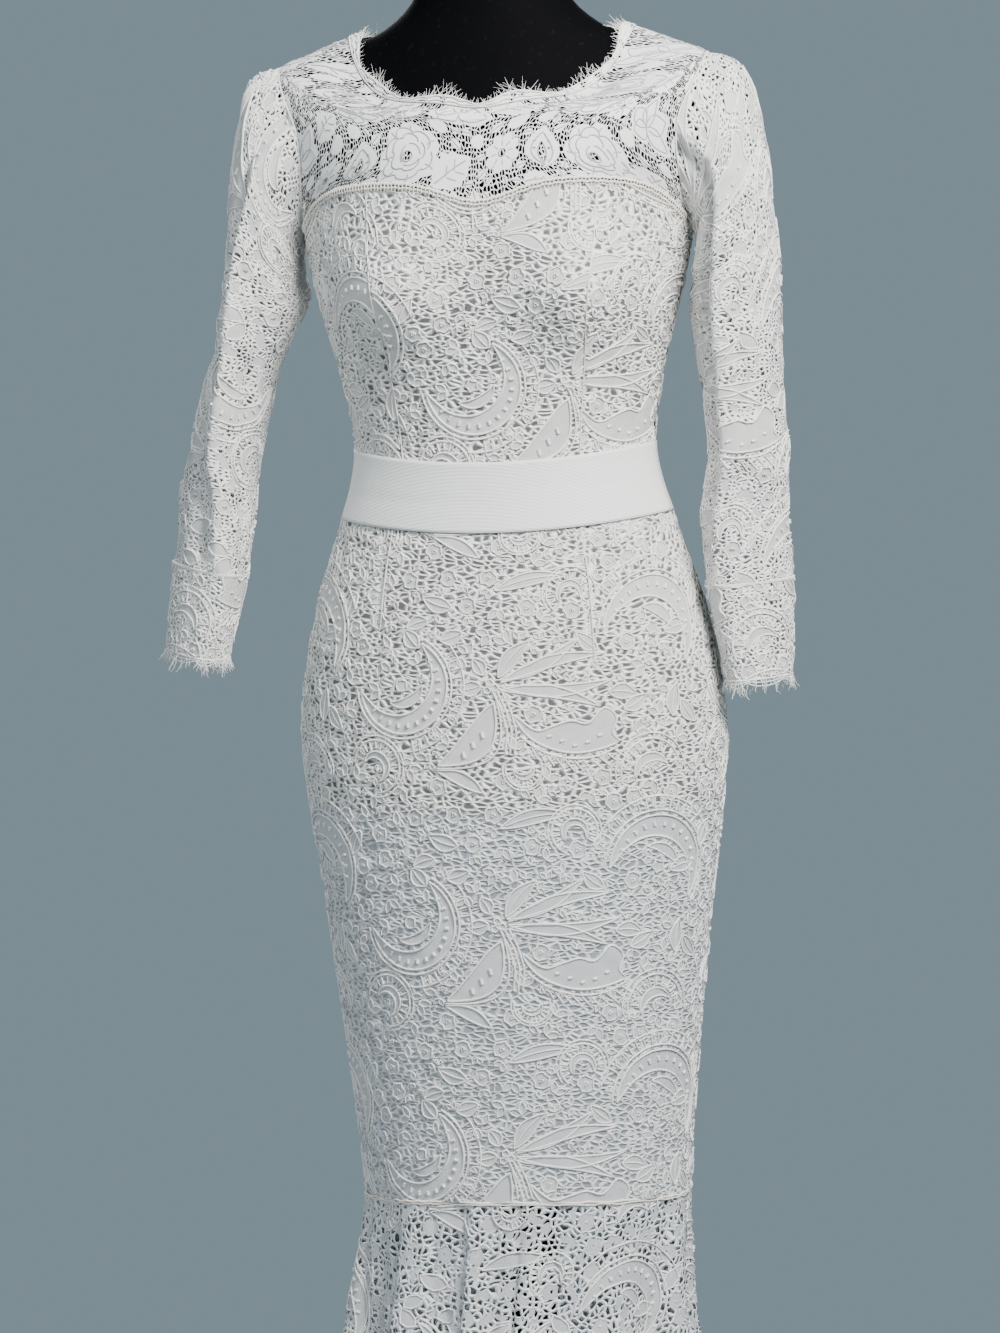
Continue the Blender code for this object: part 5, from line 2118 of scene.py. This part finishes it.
@dataclass
class Sleeve:
    """A sheer three-quarter sleeve with its cuff and frayed edge."""

    word: str
    side: int
    rings: tuple[Ring, ...]
    cuff: tuple[Ring, ...]
    creases: tuple[Crease, ...]
    lash_gap: float = 0.0013
    cuff_round: float = 0.20
    lobes: float = 3.5

    def build(self, dresser: Dresser) -> None:
        """Makes the sleeve, the cuff and the seam between them.

        Args:
            dresser: What finishes the pieces.
        """
        tube = SleeveForm(self.side, self.rings, dresser.figure)
        LacePanel(
            name=f"sleeve_{self.word}_cloth",
            nodes=(f"sleeve_{self.word}_front", f"sleeve_{self.word}_back"), surface=tube.surface,
            across=(0.0, 2.0), up=(float(len(self.rings)), 0.0), chart=dresser.paisley,
            material=dresser.wardrobe.sheer_lace, middle=0.25, corner=(0.06 * self.side, 0.03),
            pitch=0.0028, cord_pitch=4.4, least_cord=0.52, puffs=(0.0006, 0.009), drape=0.0016,
            creases=self.creases, closed=True, held="hung",
        ).build(dresser)
        band = SleeveForm(self.side, self.cuff)
        LacePanel(
            name=f"cuff_{self.word}_cloth",
            nodes=(f"cuff_{self.word}_front", f"cuff_{self.word}_back"), surface=band.surface,
            across=(0.0, 2.0), up=(float(len(self.cuff) - 1), 0.0), chart=dresser.paisley,
            material=dresser.wardrobe.sheer_lace, middle=0.25, corner=(0.11, 0.09), pitch=0.0026,
            cord_pitch=3.6, closed=True, held="hung",
        ).build(dresser)
        self.fray(dresser, band)

    def fray(self, dresser: Dresser, band: SleeveForm) -> None:
        """The cuff's seam cords and its lobed, frayed foot.

        Args:
            dresser: What finishes the pieces.
            band: The cuff's form.
        """
        threads = Threads(f"cuff_{self.word}_fray")
        around = np.linspace(0, 2, 90)
        armhole = dresser.figure.armhole_edge(self.side, np.linspace(0, 2, 150))
        threads.add(armhole + (self.side * 0.0008, 0.0, 0.0), 0.85)
        seams = Threads(f"cuff_{self.word}_seam_cords")
        for level, radius in ((0.0, 1.1), (0.07, 0.75)):
            seams.add(band.surface(around[None, :], np.array([[level]]))[0], radius)
        dresser.show(seams.mesh(), dresser.wardrobe.cream)
        last = float(len(self.cuff) - 1)
        hem = band.surface(around[None, :], np.array([[last]]))[0]
        threads.add(hem, 0.9)
        random = np.random.default_rng(7 + self.side)
        count = int(self.cuff_round / self.lash_gap)
        for share in np.linspace(0.005, 1.995, count):
            root = band.surface(np.array([[share]]), np.array([[last]]))[0, 0]
            lobe = 0.35 + abs(math.sin(share * math.pi * self.lobes)) ** 0.7
            length = random.uniform(0.006, 0.011) * lobe
            line = root + np.linspace(0, 1, 5)[:, None] * np.array(
                (random.normal(0, 0.35) * length, random.normal(0, 0.25) * length, -length)
            )
            line[1:, 0] += random.normal(0, 0.0006, 4)
            threads.add(line, random.uniform(0.22, 0.50), 0.4)
        for height in (0.0020, 0.0042):
            wave = hem.copy()
            wave[:, 2] -= height * (0.4 + np.abs(np.sin(around * np.pi * self.lobes)) ** 0.7)
            threads.add(wave, 0.45)
        dresser.show(threads.mesh(), dresser.wardrobe.thread, (f"cuff_edge_{self.word}",))


SLEEVES = (
    Sleeve(
        "left", -1, LEFT_SLEEVE, LEFT_CUFF,
        (
            Crease((-0.058, 0.035), (-0.052, 0.440), 0.0048, -0.0050),
            Crease((-0.043, 0.045), (-0.039, 0.400), 0.0070, 0.0075),
            Crease((-0.085, 0.060), (-0.078, 0.300), 0.0070, 0.0045),
            Crease((-0.030, 0.200), (0.050, 0.235), 0.0060, 0.0030),
            Crease((-0.040, 0.245), (0.030, 0.262), 0.0060, 0.0025),
            Crease((-0.020, 0.330), (0.060, 0.360), 0.0080, 0.0030),
        ),
    ),
    Sleeve(
        "right", 1, RIGHT_SLEEVE, RIGHT_CUFF,
        (
            Crease((0.050, 0.030), (0.050, 0.440), 0.0048, -0.0050),
            Crease((0.034, 0.060), (0.034, 0.420), 0.0075, 0.0080),
            Crease((0.066, 0.045), (0.070, 0.330), 0.0065, 0.0045),
            Crease((-0.030, 0.180), (0.050, 0.205), 0.0060, 0.0030),
            Crease((-0.040, 0.270), (0.040, 0.285), 0.0070, 0.0025),
            Crease((-0.020, 0.350), (0.050, 0.370), 0.0080, 0.0025),
        ),
    ),
)


@dataclass(frozen=True)
class Gather:
    """A trough below the knee seam: where it starts and ends across, its length, width and depth."""

    start: float
    end: float
    length: float
    width: float
    depth: float


@dataclass
class Flounce:
    """Sheer gathered flounce below the knee, with its seam and hem."""

    length: float = 0.460
    hem_cord: float = 1.0
    hem_rise: float = 0.12
    corner: Pair = (0.02, 0.044)
    front_gathers: tuple[Gather, ...] = (
        Gather(-0.142, -0.158, 0.21, 0.0055, 0.0050), Gather(-0.098, -0.112, 0.15, 0.0045, 0.0035),
        Gather(-0.060, -0.064, 0.09, 0.0040, 0.0025), Gather(-0.034, -0.042, 0.23, 0.0045, 0.0055),
        Gather(-0.010, -0.012, 0.08, 0.0035, 0.0020), Gather(0.013, 0.010, 0.19, 0.0048, 0.0055),
        Gather(0.044, 0.050, 0.11, 0.0040, 0.0025), Gather(0.082, 0.092, 0.17, 0.0050, 0.0035),
        Gather(0.140, 0.156, 0.24, 0.0060, 0.0060),
    )
    back_gathers: tuple[Gather, ...] = (
        Gather(-0.148, -0.163, 0.19, 0.0050, 0.0045), Gather(-0.101, -0.113, 0.23, 0.0055, 0.0050),
        Gather(-0.066, -0.070, 0.10, 0.0040, 0.0025), Gather(-0.027, -0.031, 0.20, 0.0045, 0.0045),
        Gather(0.006, 0.005, 0.09, 0.0038, 0.0025), Gather(0.039, 0.046, 0.22, 0.0050, 0.0050),
        Gather(0.077, 0.083, 0.12, 0.0040, 0.0030), Gather(0.118, 0.132, 0.21, 0.0055, 0.0050),
        Gather(0.151, 0.165, 0.13, 0.0045, 0.0035),
    )

    def creases(self, gathers: Iterable[Gather]) -> tuple[Crease, ...]:
        """Troughs that hang from the knee seam.

        Args:
            gathers: The gathers.

        Returns:
            The creases.
        """
        middle = self.corner[0]
        seam = self.corner[1] + self.length
        return tuple(
            Crease(
                (middle + row.start, seam + 0.02), (middle + row.end, seam - row.length), row.width,
                row.depth,
            )
            for row in gathers
        )

    def build(self, dresser: Dresser) -> None:
        """Makes the flounce and its edges.

        Args:
            dresser: What finishes the pieces.
        """
        form = FlounceForm(dresser.figure)
        last = float(len(form.drops) - 1)
        back = Side("back", 90.0, 270.0)
        for side, gathers in ((FRONT, self.front_gathers), (back, self.back_gathers)):
            LacePanel(
                name=f"flounce_{side.word}_cloth", nodes=(f"flounce_{side.word}",),
                surface=form.surface, across=side.across(), up=(last, 0.0), chart=dresser.paisley,
                material=dresser.wardrobe.open_lace, corner=self.corner,
                creases=self.creases(gathers), pitch=0.0038, cord_pitch=6.5, least_cord=0.57,
                puffs=(0.0008, 0.013), held="gathered",
            ).build(dresser)
        threads = Threads("flounce_hem")
        around = np.linspace(-90, 270, 260)
        threads.add(form.surface(around[None, :], np.array([[last]]))[0], self.hem_cord)
        threads.add(form.surface(around[None, :], np.array([[last - self.hem_rise]]))[0], 0.6)
        dresser.show(threads.mesh(), dresser.wardrobe.thread)
        threads = Threads("knee_seam")
        around = np.linspace(-90, 270, 420)
        seam = form.surface(around[None, :], np.array([[0.0]]))[0]
        for out, drop, radius in ((0.0004, 0.0, 1.0), (0.0008, -0.0016, 0.6)):
            waver = uneven(np.stack((around / 3.1 + drop * 900, np.zeros(420)), axis=-1)) * 0.0006
            line = seam * (1 + out / 0.12, 1 + out / 0.12, 1.0)
            line[:, 2] += waver + drop
            threads.add(line, radius)
        dresser.show(threads.mesh(), dresser.wardrobe.cream)


@dataclass
class Belt:
    """Ribbon band over the waist seam."""

    out: float = 0.0018
    wall: float = 0.0012
    edge: float = 0.01
    pitch: float = 0.0030
    creases: tuple[Crease, ...] = (
        Crease((-0.12, 0.020), (-0.02, 0.026), 0.004, 0.0004),
        Crease((0.03, 0.034), (0.13, 0.028), 0.005, 0.0004),
    )

    def build(self, dresser: Dresser) -> None:
        """Makes the ribbon in its three lengths.

        Args:
            dresser: What finishes the pieces.
        """
        figure = dresser.figure
        up = (STATION["belt foot"] + self.edge, STATION["belt top"] - self.edge)
        for side in ALL_ROUND:
            cloth = Cloth(
                lambda angle, station: figure.point(angle, station, self.out), side.across(), up,
                self.pitch, 0.5,
            )
            if side is FRONT:
                cloth.press(self.creases)
            piece = cloth.sheet(f"belt_{side.word}_ribbon")
            solid = piece.modifiers.new("Wall", "SOLIDIFY")
            solid.thickness = self.wall
            solid.offset = -1.0
            dresser.show(piece, dresser.wardrobe.ribbon, (f"belt_{side.word}",))
            dresser.declare(cloth)


@dataclass
class Closure:
    """The two folded edges over the closed concealed zip at the centre back."""

    top: float = 22.9
    foot: float = 6.6
    half_gap: float = 0.45

    def build(self, dresser: Dresser) -> None:
        """Makes the two folded edges that meet over the zip.

        Args:
            dresser: What finishes the pieces.
        """
        figure = dresser.figure
        stations = np.linspace(self.foot, self.top, 150)
        threads = Threads("zip_edges")
        for side in (-1, 1):
            over_belt = (stations > STATION["belt foot"]) & (stations < STATION["belt top"])
            out = np.where(over_belt, 0.0022, 0.0004)
            spots = [
                figure.point(np.array(side * (180 - self.half_gap)), np.array(station), float(stand))
                for station, stand in zip(stations, out)
            ]
            threads.add(np.array(spots), 0.85)
        dresser.show(threads.mesh(), dresser.wardrobe.thread)


@dataclass
class Stand:
    """The black dress form on its pole and round foot."""

    shell_gap: float = 0.0062

    def build(self, dresser: Dresser) -> None:
        """Makes the form and its stand.

        Args:
            dresser: What finishes the pieces.
        """
        self.torso(dresser)
        self.neck_cap(dresser)
        boxes = {name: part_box(f"stand_{name}") for name in ("pole", "collar", "hub", "foot")}
        for name, (low, high) in boxes.items():
            radius = (high[0] - low[0]) / 2
            profile = self.profile(name, radius, low[2], high[2])
            piece = turned(f"stand_{name}_metal", profile)
            dresser.show(piece, dresser.wardrobe.enamel, (f"stand_{name}",))
        for name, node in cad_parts.items():
            if name.startswith("zip_"):
                node.data.materials.clear()
                node.data.materials.append(dresser.wardrobe.zip)

    def profile(self, name: str, radius: float, low: float, high: float) -> list[Pair]:
        """Radius and height down one side of a turned piece.

        Args:
            name: Which piece it is.
            radius: Its radius, in metres.
            low: Its underside.
            high: Its top.

        Returns:
            The points, from the top down or the underside up.
        """
        ease = min(0.002, (high - low) / 5)
        if name == "foot":
            return [
                (0.0, high), (0.046, high), (0.075, high - 0.0012), (0.120, high - 0.0044),
                (0.150, low + 0.0070), (radius - 0.0012, low + 0.0058), (radius, low + 0.0040),
                (radius, low + 0.0010), (radius - 0.0010, low), (0.0, low),
            ]
        return [
            (0.0, high), (radius - ease, high), (radius - ease * 0.3, high - ease * 0.3),
            (radius, high - ease), (radius, low + ease), (radius - ease * 0.3, low + ease * 0.3),
            (radius - ease, low), (0.0, low),
        ]

    def torso(self, dresser: Dresser) -> None:
        """The moulded torso, closed below and above.

        Args:
            dresser: What finishes the pieces.
        """
        cloth = Cloth(
            lambda angle, station: dresser.figure.point(angle, station, -self.shell_gap),
            (-180.0, 180.0), (float(STATION["seat"]), float(STATION["neck top"])), 0.010, 0.5,
        )
        piece = cloth.sheet("form_torso_shell", closed=True)
        shell = bmesh.new()
        shell.from_mesh(piece.data)
        rims = [edge for edge in shell.edges if edge.is_boundary]
        bmesh.ops.holes_fill(shell, edges=rims, sides=0)
        bmesh.ops.recalc_face_normals(shell, faces=shell.faces)
        shell.to_mesh(piece.data)
        shell.free()
        dresser.show(piece, dresser.wardrobe.shell, ("form_torso",))

    def neck_cap(self, dresser: Dresser) -> None:
        """The rounded cap on the neck.

        Args:
            dresser: What finishes the pieces.
        """
        low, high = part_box("form_neck_cap")
        radius = (high[0] - low[0]) / 2
        piece = turned("form_neck_cap_shell", self.profile("cap", radius, low[2], high[2]))
        middle = (Vector(low) + Vector(high)) / 2
        scale = Matrix.Diagonal((1.0, (high[1] - low[1]) / (high[0] - low[0]), 1.0, 1.0))
        piece.data.transform(Matrix.Translation((middle.x, middle.y, 0.0)) @ scale)
        dresser.show(piece, dresser.wardrobe.shell, ("form_neck_cap",))


def turned(name: str, profile: list[Pair], steps: int = 64) -> bpy.types.Object:
    """A solid of revolution about the upright axis.

    Args:
        name: Its name.
        profile: Radius and height of each point.
        steps: How many steps round.

    Returns:
        The new object.
    """
    solid = bmesh.new()
    points = [solid.verts.new((radius, 0.0, height)) for radius, height in profile]
    edges = [solid.edges.new(pair) for pair in zip(points, points[1:])]
    bmesh.ops.spin(
        solid, geom=points + edges, cent=(0, 0, 0), axis=(0, 0, 1), angle=2 * math.pi, steps=steps,
        use_merge=True,
    )
    bmesh.ops.remove_doubles(solid, verts=solid.verts, dist=0.00001)
    bmesh.ops.recalc_face_normals(solid, faces=solid.faces)
    mesh = bpy.data.meshes.new(name)
    solid.to_mesh(mesh)
    solid.free()
    mesh.shade_smooth()
    piece = linked(name, mesh)
    sharp = piece.modifiers.new("Edges", "EDGE_SPLIT")
    sharp.split_angle = math.radians(50)
    return piece


# The studio


@dataclass
class Studio:
    """Plain floor, soft lights and a camera at the photograph's angle."""

    image_width: int = 1000
    image_height: int = 1333
    azimuth: float = 9.0
    elevation: float = 5.0
    distance: float = 3.6
    roll: float = 1.8
    pixels_per_metre: float = 1250.0
    aim: Triple = (0.0, 0.0, 0.898)
    aim_pixel: float = 512.0
    floor_radius: float = 0.5
    backdrop: Triple = (0.34, 0.46, 0.53)

    def build(self) -> None:
        """Sets the studio up."""
        self.floor()
        self.camera()
        self.lights()

    def floor(self) -> None:
        """A pale round floor."""
        disc = bmesh.new()
        bmesh.ops.create_circle(disc, cap_ends=True, segments=96, radius=self.floor_radius)
        mesh = bpy.data.meshes.new("floor")
        disc.to_mesh(mesh)
        disc.free()
        floor = linked("floor", mesh)
        paint = Paint("floor")
        grain = paint.noise(paint.place(), 12.0, 3.0)
        paint.surface(Base_Color=paint.mix(grain, (0.60, 0.61, 0.62), (0.66, 0.67, 0.68)), Roughness=0.7)
        mesh.materials.append(paint.material)

    def camera(self) -> None:
        """The photograph's camera: a long lens, a little to the right and above."""
        data = bpy.data.cameras.new("camera")
        data.sensor_width = 36.0
        focal_pixels = self.pixels_per_metre * self.distance
        data.lens = focal_pixels / self.image_height * data.sensor_width
        data.shift_x = -(self.aim_pixel - self.image_width / 2) / self.image_height
        camera = linked("camera", data)
        azimuth = math.radians(self.azimuth)
        elevation = math.radians(self.elevation)
        back = Vector(
            (
                math.sin(azimuth) * math.cos(elevation), -math.cos(azimuth) * math.cos(elevation),
                math.sin(elevation),
            )
        )
        camera.location = Vector(self.aim) + back * self.distance
        look = (-back).to_track_quat("-Z", "Y").to_matrix().to_4x4()
        roll = Matrix.Rotation(math.radians(-self.roll), 4, "Z")
        camera.rotation_euler = (look @ roll).to_euler()
        data.clip_start = 0.1
        data.clip_end = 30.0
        bpy.context.scene.camera = camera

    def lights(self) -> None:
        """Large soft lights and an even world."""
        for name, place, size, power, colour in (
            ("key", (1.25, -1.30, 2.50), 0.9, 150.0, (1.0, 0.985, 0.965)),
            ("fill", (-1.7, -2.2, 2.6), 1.8, 40.0, (0.96, 0.985, 1.0)),
            ("low_fill", (0.6, -2.8, 0.5), 1.6, 6.0, (1.0, 1.0, 1.0)),
            ("back_light", (-0.8, 2.6, 2.4), 1.8, 70.0, (0.96, 0.98, 1.0)),
        ):
            data = bpy.data.lights.new(name, "AREA")
            data.shape = "DISK"
            data.size = size
            data.energy = power
            data.color = colour
            light = linked(name, data)
            light.location = place
            aim = Vector((0.0, 0.0, 0.9)) - Vector(place)
            light.rotation_euler = aim.to_track_quat("-Z", "Y").to_euler()
        world = bpy.data.worlds.new("studio")
        world.use_nodes = True
        background = world.node_tree.nodes["Background"]
        background.inputs["Color"].default_value = (*self.backdrop, 1.0)
        background.inputs["Strength"].default_value = 0.60
        bpy.context.scene.world = world


def main() -> None:
    """Builds every piece and the studio."""
    logging.basicConfig(level=logging.INFO, format="%(name)s %(message)s")
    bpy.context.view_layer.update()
    figure = Figure()
    dresser = Dresser(Wardrobe(), figure, PaisleyLace(), RoseLace())
    Stand().build(dresser)
    Skirt().build(dresser)
    Bodice().build(dresser)
    Yoke().build(dresser)
    for sleeve in SLEEVES:
        sleeve.build(dresser)
    Flounce().build(dresser)
    Belt().build(dresser)
    Closure().build(dresser)
    Studio().build()


if __name__ == "__main__":
    main()
